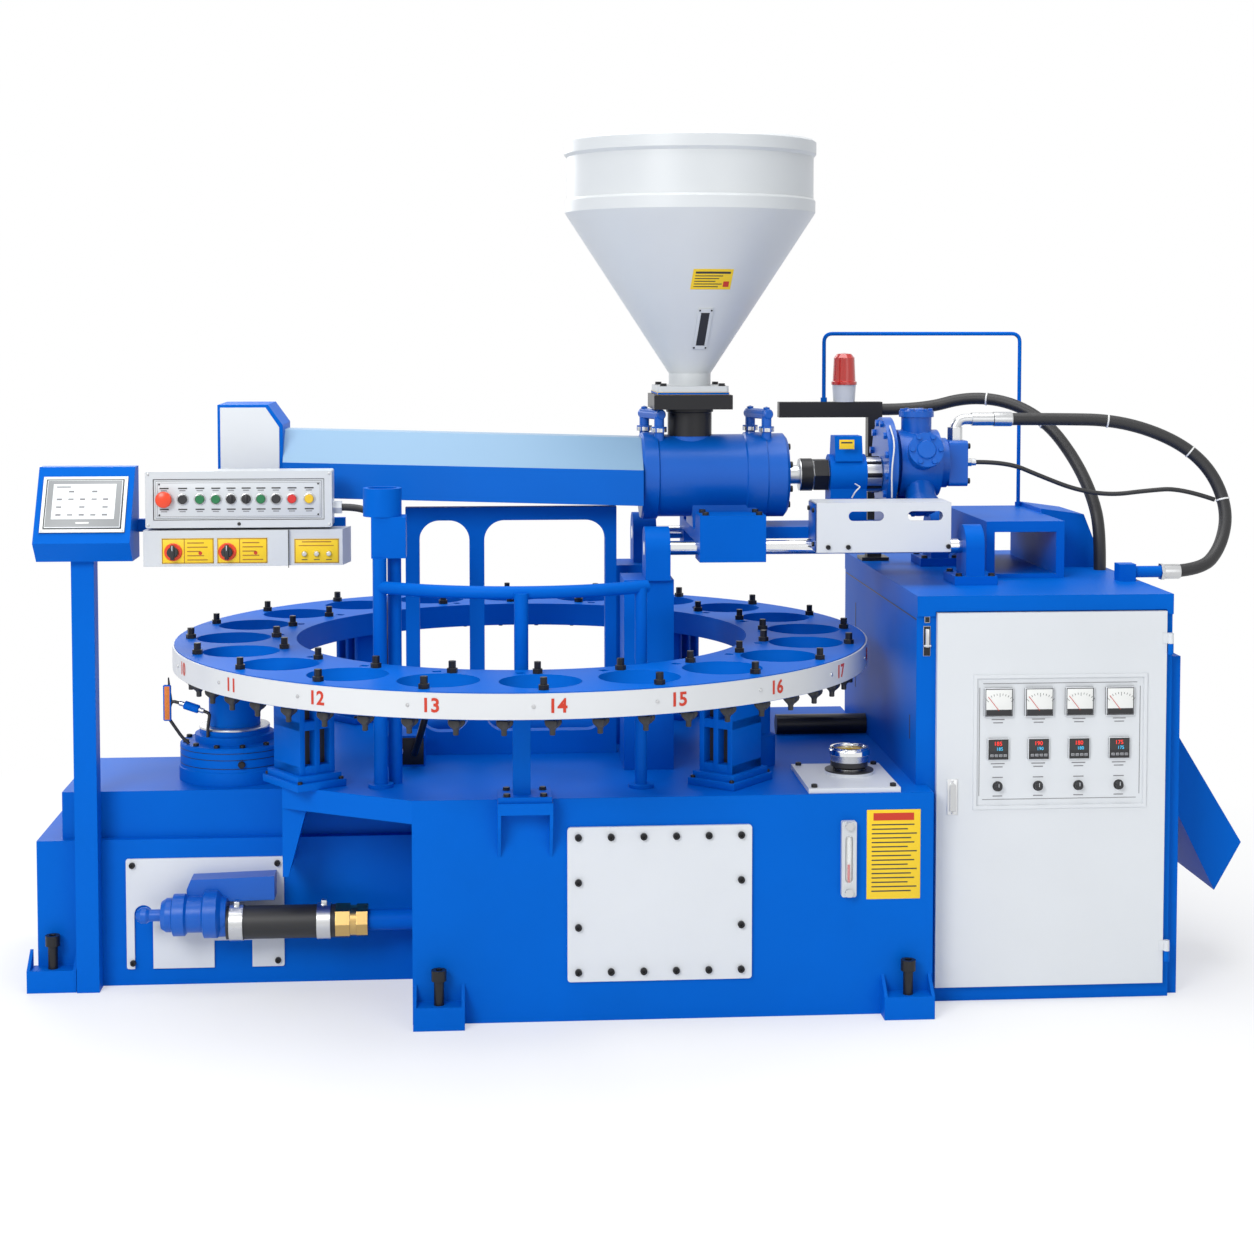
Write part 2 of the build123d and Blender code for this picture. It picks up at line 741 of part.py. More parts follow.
with BuildPart() as instrument_panel:
    with BuildSketch(Plane.XZ.offset(-panel_y)):
        with Locations(((window_left + window_right) / 2, (window_bottom + window_top) / 2)):
            Rectangle(
                window_right - window_left + 2 * window_lap,
                window_top - window_bottom + 2 * window_lap,
            )
        with Locations(*[(x, meter_z) for x in column_xs]):
            Rectangle(meter_side - 9, meter_side - 9, mode=Mode.SUBTRACT)
        with Locations(*[(x, controller_z) for x in column_xs]):
            Rectangle(controller_side - 9, controller_side - 9, mode=Mode.SUBTRACT)
        with Locations(*[(x, knob_z) for x in column_xs]):
            Circle(5, mode=Mode.SUBTRACT)
    extrude(amount=-panel_sheet)
    for row_z, side, proud, deep in (
        (meter_z, meter_side, 9.0, 40.0),
        (controller_z, controller_side, 7.0, 44.0),
    ):
        with BuildSketch(Plane.XZ.offset(-panel_y)):
            with Locations(*[(x, row_z) for x in column_xs]):
                Rectangle(side, side)
        extrude(amount=proud)
        with BuildSketch(Plane.XZ.offset(-panel_y)):
            with Locations(*[(x, row_z) for x in column_xs]):
                Rectangle(side - 9, side - 9)
        extrude(amount=-deep)
    with BuildSketch(Plane.XZ.offset(-panel_y)):
        with Locations(*[(x, knob_z) for x in column_xs]):
            Circle(12)
    extrude(amount=16)
    with BuildSketch(Plane.XZ.offset(-panel_y)):
        with Locations(*[(x, knob_z) for x in column_xs]):
            Circle(5)
    extrude(amount=-14)
instrument_panel.part.label = "instrument_panel"
export_step(instrument_panel.part, "parts/instrument_panel.step")

# Lock handle on the lock plate, with a round hinge barrel across its lower end
handle_width = 15.0
handle_half = 3.0
handle_y = door_front - 3.0 - slip - handle_half
handle_foot = lock_z - lock_height / 2 + 12.0
handle_tip = lock_z + lock_height / 2 - 9.0

with BuildPart() as lock_handle:
    with BuildSketch(Plane.YZ.offset(lock_x - handle_width / 2)):
        with Locations((handle_y, handle_foot)):
            Circle(handle_half)
        with Locations((handle_y, (handle_foot + handle_tip) / 2)):
            Rectangle(2 * handle_half, handle_tip - handle_foot)
    extrude(amount=handle_width)
    tip_corners = lock_handle.edges().filter_by(Axis.Y).group_by(Axis.Z)[-1]
    fillet(tip_corners, handle_width / 2 - 0.5)
lock_handle.part.label = "lock_handle"
export_step(lock_handle.part, "parts/lock_handle.step")

# Side hood: a steep duct on the right side, open at its lower end
hood_front = -300.0
hood_depth = 300.0
hood_wall = 4.0
hood_left = cabinet_right + side_cover_depth
hood_outline = [(hood_left, 705.0), (1841.0, 335.0), (1772.0, 211.0), (hood_left, 525.0)]

with BuildPart() as side_hood:
    with BuildSketch(Plane.XZ.offset(-hood_front)):
        with BuildLine():
            Polyline(*hood_outline, close=True)
        make_face()
    extrude(amount=-hood_depth)
    lower_end = side_hood.faces().filter_by(GeomType.PLANE).sort_by(Axis.X)[-1]
    offset(amount=-hood_wall, openings=[lower_end])
side_hood.part.label = "side_hood"
export_step(side_hood.part, "parts/side_hood.step")

# Injection columns: two posts with round-topped ears for the guide rods
front_rod = unit_y - rod_spread
rear_rod = unit_y + rod_spread
ear_left = 303.0
ear_thickness = 63.0
ear_half = 55.0
column_left = 250.0
column_width = 126.0
column_half = 79.0
shoulder_z = 1023.0


def ear(rod_y, left, thickness, foot_z):
    """An upright plate across a guide rod, with a round top and the rod's bore."""
    with BuildPart() as upright:
        with BuildSketch(Plane.YZ.offset(left)):
            with Locations((rod_y, (foot_z + rod_z) / 2)):
                Rectangle(2 * ear_half, rod_z - foot_z)
            with Locations((rod_y, rod_z)):
                Circle(ear_half)
                Circle(rod_radius + run_fit, mode=Mode.SUBTRACT)
        extrude(amount=thickness)
    return upright.part


column_ears = [ear(rod_y, ear_left, ear_thickness, shoulder_z) for rod_y in (front_rod, rear_rod)]

with BuildPart() as injection_columns:
    for rod_y, outward in ((front_rod, -1), (rear_rod, 1)):
        column_y = rod_y - outward * 41
        with BuildSketch(Plane.XY.offset(deck_top)):
            with Locations((column_left + column_width / 2, column_y)):
                Rectangle(column_width, 2 * column_half)
        extrude(amount=shoulder_z - deck_top)
    add(column_ears)
injection_columns.part.label = "injection_columns"
export_step(injection_columns.part, "parts/injection_columns.step")

# Rear pedestals on the cabinet
pedestal_left = 1120.0
pedestal_thickness = 48.0
pedestal_foot = 22.0
pedestal_ears = [
    ear(rod_y, pedestal_left, pedestal_thickness, cabinet_top + pedestal_foot)
    for rod_y in (front_rod, rear_rod)
]

with BuildPart() as rear_pedestals:
    for rod_y in (front_rod, rear_rod):
        with BuildSketch(Plane.XY.offset(cabinet_top)):
            with Locations((pedestal_left + pedestal_thickness / 2, rod_y)):
                Rectangle(pedestal_thickness + 62, 2 * ear_half + 20)
        extrude(amount=pedestal_foot)
    add(pedestal_ears)
rear_pedestals.part.label = "rear_pedestals"
export_step(rear_pedestals.part, "parts/rear_pedestals.step")

# Guide rods
with BuildPart() as guide_rods:
    with BuildSketch(Plane.YZ.offset(ear_left)):
        with Locations((front_rod, rod_z), (rear_rod, rod_z)):
            Circle(rod_radius)
    extrude(amount=pedestal_left + pedestal_thickness - ear_left)
guide_rods.part.label = "guide_rods"
export_step(guide_rods.part, "parts/guide_rods.step")

# Carriage: two sliding blocks, a cross plate, the long beam and the screw's bearing
block_left = 440.0
block_width = 168.0
block_bottom = 1068.0
block_top = 1186.0
saddle_top = 1140.0
saddle_thickness = 30.0
beam_right = 1000.0
beam_half = 90.0
bearing_left = 808.0
bearing_right = 905.0
bearing_radius = 54.0
shaft_radius = 25.0

with BuildPart() as carriage:
    for rod_y in (front_rod, rear_rod):
        with BuildSketch(Plane.YZ.offset(block_left)):
            with Locations((rod_y, (block_bottom + block_top) / 2)):
                Rectangle(2 * ear_half, block_top - block_bottom)
        extrude(amount=block_width)
    with BuildSketch(Plane.XY.offset(saddle_top)):
        with Locations((block_left + block_width / 2, unit_y)):
            Rectangle(block_width, 2 * (rod_spread - ear_half))
        with Locations(((block_left + beam_right) / 2, unit_y)):
            Rectangle(beam_right - block_left, 2 * beam_half)
    extrude(amount=-saddle_thickness)
    # Bearing block with its pedestal and upper casting
    with BuildSketch(Plane.YZ.offset(bearing_left)):
        with Locations((unit_y, unit_z)):
            Circle(bearing_radius)
        with Locations((unit_y, (saddle_top + unit_z) / 2)):
            Rectangle(2 * bearing_radius - 26, unit_z - saddle_top)
    extrude(amount=bearing_right - bearing_left)
    with BuildSketch(Plane.YZ.offset(bearing_left + 12)):
        with Locations((unit_y, unit_z + 70)):
            Trapezoid(96, 66, 76)
    extrude(amount=bearing_right - bearing_left - 24)
    with BuildSketch(Plane.YZ.offset(bearing_left)):
        with Locations((unit_y, unit_z)):
            Circle(shaft_radius + run_fit)
    extrude(amount=bearing_right - bearing_left, mode=Mode.SUBTRACT)
    for rod_y in (front_rod, rear_rod):
        with BuildSketch(Plane.YZ.offset(block_left)):
            with Locations((rod_y, rod_z)):
                Circle(rod_radius + run_fit)
        extrude(amount=block_width, mode=Mode.SUBTRACT)
carriage.part.label = "carriage"
export_step(carriage.part, "parts/carriage.step")

# Feed housing: a turned cylinder with flanges, a foot, the feed throat and two water bridges
throat_radius = 40.0
neck_outer = 56.0
neck_top = 1447.0
stem_radius = 13.0
bridge_skew = 16.0
bridge_half = 42.0
bridge_rise = 66.0

with BuildPart() as feed_housing:
    with BuildSketch(Plane.XZ.offset(-unit_y)):
        with BuildLine():
            Polyline(
                (housing_left, unit_z),
                (housing_left, unit_z + housing_radius + 2),
                (housing_left + 6, unit_z + housing_radius + 6),
                (housing_left + 42, unit_z + housing_radius + 6),
                (housing_left + 46, unit_z + housing_radius),
                (housing_right - 114, unit_z + housing_radius),
                (housing_right - 110, unit_z + housing_radius + 5),
                (housing_right - 60, unit_z + housing_radius + 5),
                (housing_right - 56, unit_z + housing_radius + 2),
                (housing_right - 8, unit_z + housing_radius + 2),
                (housing_right, unit_z + housing_radius - 8),
                (housing_right, unit_z),
                close=True,
            )
        make_face()
    revolve(axis=Axis((0, unit_y, unit_z), (1, 0, 0)))
    # Foot on the carriage
    with BuildSketch(Plane.XY.offset(saddle_top)):
        with Locations((block_left + block_width / 2, unit_y)):
            Rectangle(block_width, 2 * beam_half - 20)
    extrude(amount=70)
    # Neck for the hopper gate
    with BuildSketch(Plane.XY.offset(unit_z)):
        with Locations((hopper_x, unit_y)):
            Circle(neck_outer)
    extrude(amount=neck_top - unit_z)
    # Cooling water bridges between pairs of nipples
    for bridge_x in (housing_left + 31, housing_right - 72):
        nipples = [
            (bridge_x - side * bridge_skew, unit_y + side * bridge_half) for side in (-1, 1)
        ]
        with BuildSketch(Plane.XY.offset(unit_z + housing_radius - 30)):
            with Locations(*nipples):
                Circle(stem_radius)
        extrude(amount=bridge_rise + 20)
        with BuildSketch(Plane.XY.offset(unit_z + housing_radius + 8)):
            with Locations(*nipples):
                RegularPolygon(20, 6)
        extrude(amount=14)
        with BuildSketch(Plane.XY.offset(unit_z + housing_radius + bridge_rise - 22)):
            with Locations((bridge_x, unit_y)):
                SlotCenterToCenter(
                    2 * hypot(bridge_skew, bridge_half),
                    25,
                    rotation=-degrees(atan2(bridge_half, bridge_skew)),
                )
        extrude(amount=20)
    with BuildSketch(Plane.YZ.offset(housing_left)):
        with Locations((unit_y, unit_z)):
            Circle(screw_radius + run_fit)
    extrude(amount=housing_right - housing_left, mode=Mode.SUBTRACT)
    with BuildSketch(Plane.XY.offset(unit_z)):
        with Locations((hopper_x, unit_y)):
            Circle(throat_radius)
    extrude(amount=neck_top - unit_z, mode=Mode.SUBTRACT)
feed_housing.part.label = "feed_housing"
export_step(feed_housing.part, "parts/feed_housing.step")

# Barrel with its nozzle, bored for the screw
nozzle_length = 96.0

with BuildPart() as barrel:
    with BuildSketch(Plane.XZ.offset(-unit_y)):
        with BuildLine():
            Polyline(
                (housing_left, unit_z + screw_radius + run_fit),
                (housing_left, unit_z + barrel_radius + 34),
                (housing_left - 30, unit_z + barrel_radius + 34),
                (housing_left - 30, unit_z + barrel_radius),
                (barrel_left, unit_z + barrel_radius),
                (barrel_left - 12, unit_z + 34),
                (barrel_left - 50, unit_z + 24),
                (barrel_left - nozzle_length, unit_z + 10),
                (barrel_left - nozzle_length, unit_z + 4),
                (barrel_left - 30, unit_z + 4),
                (barrel_left + 6, unit_z + screw_radius + run_fit),
                close=True,
            )
        make_face()
    revolve(axis=Axis((0, unit_y, unit_z), (1, 0, 0)))
barrel.part.label = "barrel"
export_step(barrel.part, "parts/barrel.step")

# Screw with its drive shaft and couplings, in one line
with BuildPart() as screw_shaft:
    with BuildSketch(Plane.XZ.offset(-unit_y)):
        with BuildLine():
            Polyline(
                (barrel_left + 12, unit_z),
                (barrel_left + 50, unit_z + screw_radius),
                (housing_right, unit_z + screw_radius),
                (housing_right, unit_z + shaft_radius),
                (730, unit_z + shaft_radius),
                (730, unit_z + 42),
                (764, unit_z + 42),
                (764, unit_z + shaft_radius),
                (bearing_right, unit_z + shaft_radius),
                (bearing_right, unit_z + 46),
                (motor_left - air, unit_z + 46),
                (motor_left - air, unit_z),
                close=True,
            )
        make_face()
    revolve(axis=Axis((0, unit_y, unit_z), (1, 0, 0)))
    with BuildSketch(Plane.YZ.offset(766)):
        with Locations((unit_y, unit_z)):
            RegularPolygon(44, 6)
    extrude(amount=bearing_left - 766 - air)
screw_shaft.part.label = "screw_shaft"
export_step(screw_shaft.part, "parts/screw_shaft.step")

# Barrel hood: a long sheet cover with sloped shoulders, open below
hood_half = 125.0
crown_half = 45.0
hood_sheet = 4.0


def hood_section(crown, skirt_drop, inset):
    """Corners of the house-shaped section of the hood, by its rise and drop from the axis."""
    top = unit_z + crown
    shoulder = top - shoulder_drop
    bottom = unit_z - skirt_drop
    return [
        (unit_y - hood_half + inset, bottom),
        (unit_y - hood_half + inset, shoulder - inset * 0.4),
        (unit_y - crown_half + inset * 0.4, top - inset),
        (unit_y + crown_half - inset * 0.4, top - inset),
        (unit_y + hood_half - inset, shoulder - inset * 0.4),
        (unit_y + hood_half - inset, bottom),
    ]


shoulder_drop = 80.0
hood_end_left = -611.0
hood_end_right = housing_left

with BuildPart() as barrel_hood:
    for inset, mode in ((0, Mode.ADD), (hood_sheet, Mode.SUBTRACT)):
        with BuildSketch(Plane.YZ.offset(hood_end_left)):
            Polygon(*hood_section(127.0, 42.0, inset), align=None)
        with BuildSketch(Plane.YZ.offset(hood_end_right)):
            Polygon(*hood_section(102.0, 70.0, inset), align=None)
        loft(mode=mode)
barrel_hood.part.label = "barrel_hood"
export_step(barrel_hood.part, "parts/barrel_hood.step")

# Nozzle shield: a chamfered box over the nozzle, open at the bottom and to the hood
shield_left = -775.0
shield_right = hood_end_left
shield_half = 110.0
shield_top = 1463.0
shield_bottom = 1180.0

with BuildPart() as nozzle_shield:
    for inset, mode in ((0, Mode.ADD), (hood_sheet, Mode.SUBTRACT)):
        with BuildSketch(Plane.XZ.offset(-(unit_y - shield_half + inset))):
            with BuildLine():
                Polyline(
                    (shield_left + inset, shield_bottom),
                    (shield_left + inset, shield_top - inset),
                    (shield_right - 37 - inset * 0.5, shield_top - inset),
                    (shield_right - inset, shield_top - 52 - inset * 0.5),
                    (shield_right - inset, shield_bottom),
                    close=True,
                )
            make_face()
        extrude(amount=-(2 * shield_half - 2 * inset), mode=mode)
    with BuildSketch(Plane.YZ.offset(shield_right)):
        with Locations((unit_y, unit_z)):
            Circle(barrel_radius + 12)
        with Locations((unit_y, (shield_bottom + unit_z) / 2)):
            Rectangle(2 * barrel_radius + 24, unit_z - shield_bottom)
    extrude(amount=-hood_sheet - 2, mode=Mode.SUBTRACT)
nozzle_shield.part.label = "nozzle_shield"
export_step(nozzle_shield.part, "parts/nozzle_shield.step")

# Feed gate: flange plates between the neck and the hopper
gate_half = 102.0
flange_half = 93.0
gate_top = neck_top + 37.0
spacer_top = gate_top + 8.0

with BuildPart() as feed_gate:
    with BuildSketch(Plane.XY.offset(neck_top)):
        with Locations((hopper_x, unit_y)):
            Rectangle(2 * gate_half, 2 * gate_half)
    extrude(amount=gate_top - neck_top)
    with BuildSketch(Plane.XY.offset(gate_top)):
        with Locations((hopper_x, unit_y)):
            Rectangle(2 * flange_half - 6, 2 * flange_half - 6)
    extrude(amount=spacer_top - gate_top)
    with BuildSketch(Plane.XY.offset(neck_top)):
        with Locations((hopper_x, unit_y)):
            Circle(throat_radius)
    extrude(amount=spacer_top - neck_top, mode=Mode.SUBTRACT)
feed_gate.part.label = "feed_gate"
export_step(feed_gate.part, "parts/feed_gate.step")

# Hopper: flange, neck, cone, belt and a rolled rim
hopper_top = 2143.0
belt_height = 195.0
flange_top = spacer_top + 15.0
cone_bottom = flange_top + 32.0
cone_top = hopper_top - belt_height
hopper_neck = 55.0

with BuildPart() as hopper:
    with BuildSketch(Plane.XZ.offset(-unit_y)):
        with BuildLine():
            Polyline(
                (hopper_x + hopper_neck - hopper_wall, spacer_top),
                (hopper_x + hopper_neck, spacer_top),
                (hopper_x + hopper_neck, cone_bottom),
                (hopper_x + hopper_radius - 3, cone_top),
                (hopper_x + hopper_radius + 2, cone_top + 8),
                (hopper_x + hopper_radius + 2, cone_top + 38),
                (hopper_x + hopper_radius - 3, cone_top + 44),
                (hopper_x + hopper_radius - 3, hopper_top - 44),
                (hopper_x + hopper_radius + 4, hopper_top - 36),
                (hopper_x + hopper_radius + 4, hopper_top - 6),
                (hopper_x + hopper_radius - 2, hopper_top),
                (hopper_x + hopper_radius - 3 - hopper_wall, hopper_top),
                (hopper_x + hopper_radius - 3 - hopper_wall, cone_top + 2),
                (hopper_x + hopper_neck - hopper_wall, cone_bottom + 3),
                close=True,
            )
        make_face()
    revolve(axis=Axis((hopper_x, unit_y, 0), (0, 0, 1)))
    with BuildSketch(Plane.XY.offset(spacer_top)):
        with Locations((hopper_x, unit_y)):
            RectangleRounded(2 * flange_half, 2 * flange_half, 10)
            Circle(hopper_neck - hopper_wall, mode=Mode.SUBTRACT)
    extrude(amount=flange_top - spacer_top)
hopper.part.label = "hopper"
export_step(hopper.part, "parts/hopper.step")

# Hydraulic motor: five radial cylinders round a drum, a disc flange and a valve block
lobe_count = 5
lobe_reach = 138.0
lobe_radius = 40.0
drum_left = 990.0
drum_right = 1098.0
drum_radius = 88.0
valve_right = 1172.0

with BuildPart() as hydraulic_motor:
    with BuildSketch(Plane.YZ.offset(motor_left)):
        with Locations((unit_y, motor_z)):
            Circle(121)
    extrude(amount=26)
    with BuildSketch(Plane.YZ.offset(motor_left + 26)):
        with Locations((unit_y, motor_z)):
            Circle(96)
    with BuildSketch(Plane.YZ.offset(drum_left)):
        with Locations((unit_y, motor_z)):
            Circle(72)
    loft()
    with BuildSketch(Plane.YZ.offset(drum_left)):
        with Locations((unit_y, motor_z)):
            Circle(drum_radius)
    extrude(amount=drum_right - drum_left)
    for lobe in range(lobe_count):
        lobe_plane = Plane(
            origin=((drum_left + drum_right) / 2, unit_y, motor_z),
            x_dir=(1, 0, 0),
            z_dir=(0, sin(2 * pi * lobe / lobe_count), cos(2 * pi * lobe / lobe_count)),
        )
        with BuildSketch(lobe_plane.offset(40)):
            Circle(lobe_radius)
        extrude(amount=lobe_reach - 40 - 16)
        with BuildSketch(lobe_plane.offset(lobe_reach - 16)):
            Circle(lobe_radius + 6)
        extrude(amount=16)
    # Valve block and ports
    with BuildSketch(Plane.YZ.offset(drum_right)):
        with Locations((unit_y, motor_z)):
            Circle(66)
    extrude(amount=24)
    with BuildSketch(Plane.YZ.offset(drum_right + 24)):
        with Locations((unit_y, motor_z)):
            RectangleRounded(104, 120, 12)
    extrude(amount=valve_right - drum_right - 24)
    # Feet down to the carriage beam
    with BuildSketch(Plane.XY.offset(saddle_top)):
        with Locations((motor_left + 24, unit_y)):
            Rectangle(48, 2 * beam_half - 30)
    extrude(amount=70)
hydraulic_motor.part.label = "hydraulic_motor"
export_step(hydraulic_motor.part, "parts/hydraulic_motor.step")

# Motor fittings: a swept elbow and the straight pilot fitting
elbow_x = 1148.0
elbow_top = 1415.0
elbow_end = 1250.0
pilot_z = 1302.0

with BuildPart() as motor_fittings:
    with BuildLine() as elbow_path:
        FilletPolyline(
            (elbow_x, unit_y, motor_z + 78),
            (elbow_x, unit_y, elbow_top),
            (elbow_end, unit_y, elbow_top),
            radius=28,
        )
    with BuildSketch(Plane(origin=(elbow_x, unit_y, motor_z + 78), z_dir=(0, 0, 1))):
        Circle(14)
    sweep(path=elbow_path.line)
    with BuildSketch(Plane.XY.offset(motor_z + 60)):
        with Locations((elbow_x, unit_y)):
            RegularPolygon(20, 6)
    extrude(amount=34)
    with BuildSketch(Plane.YZ.offset(elbow_end - 58)):
        with Locations((unit_y, elbow_top)):
            Circle(17.5)
    extrude(amount=58)
    with BuildSketch(Plane.YZ.offset(valve_right)):
        with Locations((unit_y - 18, pilot_z)):
            RegularPolygon(12, 6)
    extrude(amount=16)
    with BuildSketch(Plane.YZ.offset(valve_right + 16)):
        with Locations((unit_y - 18, pilot_z)):
            Circle(9)
    extrude(amount=12)
motor_fittings.part.label = "motor_fittings"
export_step(motor_fittings.part, "parts/motor_fittings.step")

# Cover box over the seat cylinder: a channel with two slots, carried on the front rod
box_left = 734.0
box_right = 1077.0
box_bottom = 1092.0
box_top = 1218.0
box_front = -300.0
box_back = -182.0
box_sheet = 4.0

with BuildPart() as cover_box:
    with BuildSketch(Plane.XY.offset(box_bottom)):
        with Locations(((box_left + box_right) / 2, (box_front + box_back) / 2)):
            Rectangle(box_right - box_left, box_back - box_front)
    extrude(amount=box_top - box_bottom)
    with BuildSketch(Plane.XY.offset(box_bottom)):
        with Locations(((box_left + box_right) / 2, (box_front + box_back) / 2 + box_sheet)):
            Rectangle(box_right - box_left - 2 * box_sheet, box_back - box_front)
    extrude(amount=box_top - box_bottom - box_sheet, mode=Mode.SUBTRACT)
    with BuildSketch(Plane.XZ.offset(-box_front)):
        with Locations((box_left + 126, box_top - 34), (box_left + 277, box_top - 34)):
            SlotOverall(90, 24)
    extrude(amount=-box_sheet, mode=Mode.SUBTRACT)
    with BuildSketch(Plane.YZ.offset(box_left)):
        with Locations((front_rod, rod_z)):
            Circle(rod_radius + slip)
        with Locations((front_rod, (box_bottom + rod_z) / 2 - 4)):
            Rectangle(2 * (rod_radius + slip), rod_z - box_bottom + 8)
    extrude(amount=box_right - box_left, mode=Mode.SUBTRACT)
cover_box.part.label = "cover_box"
export_step(cover_box.part, "parts/cover_box.step")

# Guard table on the cabinet, with its sloped duct cover
table_left = 1205.0
table_right = 1412.0
table_front = -150.0
table_back = 323.0
table_top = 1154.0
table_lip = 28.0
table_wall = 22.0
slope_right = 1588.0

with BuildPart() as guard_table:
    with BuildSketch(Plane.XY.offset(cabinet_top)):
        with Locations(((table_left + table_right) / 2, (table_front + table_back) / 2)):
            Rectangle(table_right - table_left, table_back - table_front)
    extrude(amount=table_top - cabinet_top)
    with BuildSketch(Plane.XY.offset(cabinet_top + 10)):
        with Locations(((table_left + table_right) / 2, (table_front + table_back) / 2)):
            Rectangle(table_right - table_left - 2 * table_wall, table_back - table_front)
    extrude(amount=table_top - table_lip - cabinet_top - 10, mode=Mode.SUBTRACT)
    with BuildSketch(Plane.XZ.offset(-80)):
        with BuildLine():
            Polyline(
                (table_right, cabinet_top),
                (slope_right, cabinet_top),
                (1530, 1150),
                (table_right, 1166),
                close=True,
            )
        make_face()
    extrude(amount=-(table_back - 80))
guard_table.part.label = "guard_table"
export_step(guard_table.part, "parts/guard_table.step")

# Beacon mast: a post on the cabinet and a beam to the hopper side
mast_x = 992.0
mast_y = 300.0
beam_top = 1450.0
beam_depth = 43.0
beam_left = 722.0
tube_radius = 4.5
tube_left = 850.0
tube_right = 1405.0
tube_top = 1640.0

with BuildPart() as beacon_mast:
    with BuildSketch(Plane.XY.offset(cabinet_top)):
        with Locations((mast_x, mast_y)):
            Rectangle(40, 40)
    extrude(amount=beam_top - cabinet_top)
    with BuildSketch(Plane.XY.offset(cabinet_top)):
        with Locations((mast_x, mast_y)):
            Rectangle(76, 76)
    extrude(amount=10)
    with BuildSketch(Plane.YZ.offset(beam_left)):
        with Locations((mast_y, beam_top - beam_depth / 2)):
            Rectangle(40, beam_depth)
    extrude(amount=mast_x - beam_left)
    # Thin guard tube from the beam over to the table
    with BuildLine() as tube_path:
        FilletPolyline(
            (tube_left, mast_y, beam_top),
            (tube_left, mast_y, tube_top),
            (tube_right, mast_y, tube_top),
            (tube_right, mast_y, table_top),
            radius=24,
        )
    with BuildSketch(Plane(origin=(tube_left, mast_y, beam_top), z_dir=(0, 0, 1))):
        RegularPolygon(tube_radius, 8)
    sweep(path=tube_path.line)
beacon_mast.part.label = "beacon_mast"
export_step(beacon_mast.part, "parts/beacon_mast.step")

# Beacon: a turned base and a domed lens
beacon_x = 907.0
beacon_base = 48.0
beacon_height = 137.0

with BuildPart() as beacon:
    with BuildSketch(Plane.XZ.offset(-mast_y)):
        with BuildLine():
            Polyline(
                (beacon_x, beam_top),
                (beacon_x + 30, beam_top),
                (beacon_x + 33, beam_top + beacon_base),
                (beacon_x, beam_top + beacon_base),
                close=True,
            )
        make_face()
    revolve(axis=Axis((beacon_x, mast_y, 0), (0, 0, 1)))
beacon.part.label = "beacon"
export_step(beacon.part, "parts/beacon.step")

with BuildPart() as beacon_lens:
    with BuildSketch(Plane.XZ.offset(-mast_y)):
        with BuildLine():
            base_z = beam_top + beacon_base
            Polyline(
                (beacon_x, base_z),
                (beacon_x + 36, base_z),
                (beacon_x + 36, base_z + 8),
                (beacon_x + 32, base_z + 10),
                (beacon_x + 29, beam_top + beacon_height - 14),
                (beacon_x + 20, beam_top + beacon_height - 3),
                (beacon_x, beam_top + beacon_height),
                close=True,
            )
        make_face()
    revolve(axis=Axis((beacon_x, mast_y, 0), (0, 0, 1)))
beacon_lens.part.label = "beacon_lens"
export_step(beacon_lens.part, "parts/beacon_lens.step")

# Hand rail: a bent rail on two posts, the middle post and the swing post with its cup
rail_radius = 15.5
rail_z = 1030.0
rail_left = around(ring_bore - 42.5, -130.56)
rail_right = around(ring_bore - 51.3, -59.05)
rail_middle = around(ring_bore - 29.8, -91.64)
post_radius = 17.0
block_size = (84.0, 84.0)
block_z = (1100.0, 1200.0)
cup_top = 1269.0
swing_spot = around(ring_bore - 85.6, -131.46)
cup_shift = 16.0

with BuildPart() as hand_rail:
    with BuildLine() as rail_path:
        ThreePointArc(
            (rail_left[0], rail_left[1], rail_z),
            (rail_middle[0], rail_middle[1] + 14, rail_z),
            (rail_right[0] + 14, rail_right[1] + 14, rail_z),
        )
    with BuildSketch(Plane(origin=rail_path.line @ 0, z_dir=rail_path.line % 0)):
        Circle(rail_radius)
    sweep(path=rail_path.line)
    with BuildSketch(Plane.XY.offset(deck_top)):
        with Locations(rail_left):
            Circle(post_radius)
        with Locations((swing_spot[0] + 12, swing_spot[1] + 6)):
            Circle(post_radius)
    extrude(amount=block_z[0] - deck_top)
    with BuildSketch(Plane.XY.offset(deck_top)):
        with Locations(rail_right):
            Circle(post_radius - 2)
    extrude(amount=rail_z - deck_top)
    with BuildSketch(Plane.XY.offset(deck_top)):
        with Locations(rail_left, rail_right):
            Circle(post_radius + 14)
    extrude(amount=8)
    # Middle post on its foot plate, square below and round above
    with BuildSketch(Plane.XY.offset(deck_top)):
        with Locations((rail_middle[0] + 7, bracket_front + 56)):
            Rectangle(bracket_right - bracket_left - 4, 96)
    extrude(amount=13)
    with BuildSketch(Plane.XY.offset(deck_top)):
        with Locations(rail_middle):
            Rectangle(42, 42)
    extrude(amount=rim_bottom - deck_top + 20)
    with BuildSketch(Plane.XY.offset(rim_bottom)):
        with Locations(rail_middle):
            Circle(post_radius)
    extrude(amount=rail_z - rim_bottom)
    # Swing block with the cup on top
    with BuildSketch(Plane.XY.offset(block_z[0])):
        with Locations(swing_spot):
            Rectangle(*block_size)
    extrude(amount=block_z[1] - block_z[0])
    with BuildSketch(Plane.XY.offset(block_z[1])):
        with Locations((swing_spot[0] - cup_shift, swing_spot[1])):
            Circle(47)
    extrude(amount=cup_top - block_z[1])
    with BuildSketch(Plane.XY.offset(cup_top)):
        with Locations((swing_spot[0] - cup_shift, swing_spot[1])):
            Circle(36)
    extrude(amount=-40, mode=Mode.SUBTRACT)
hand_rail.part.label = "hand_rail"
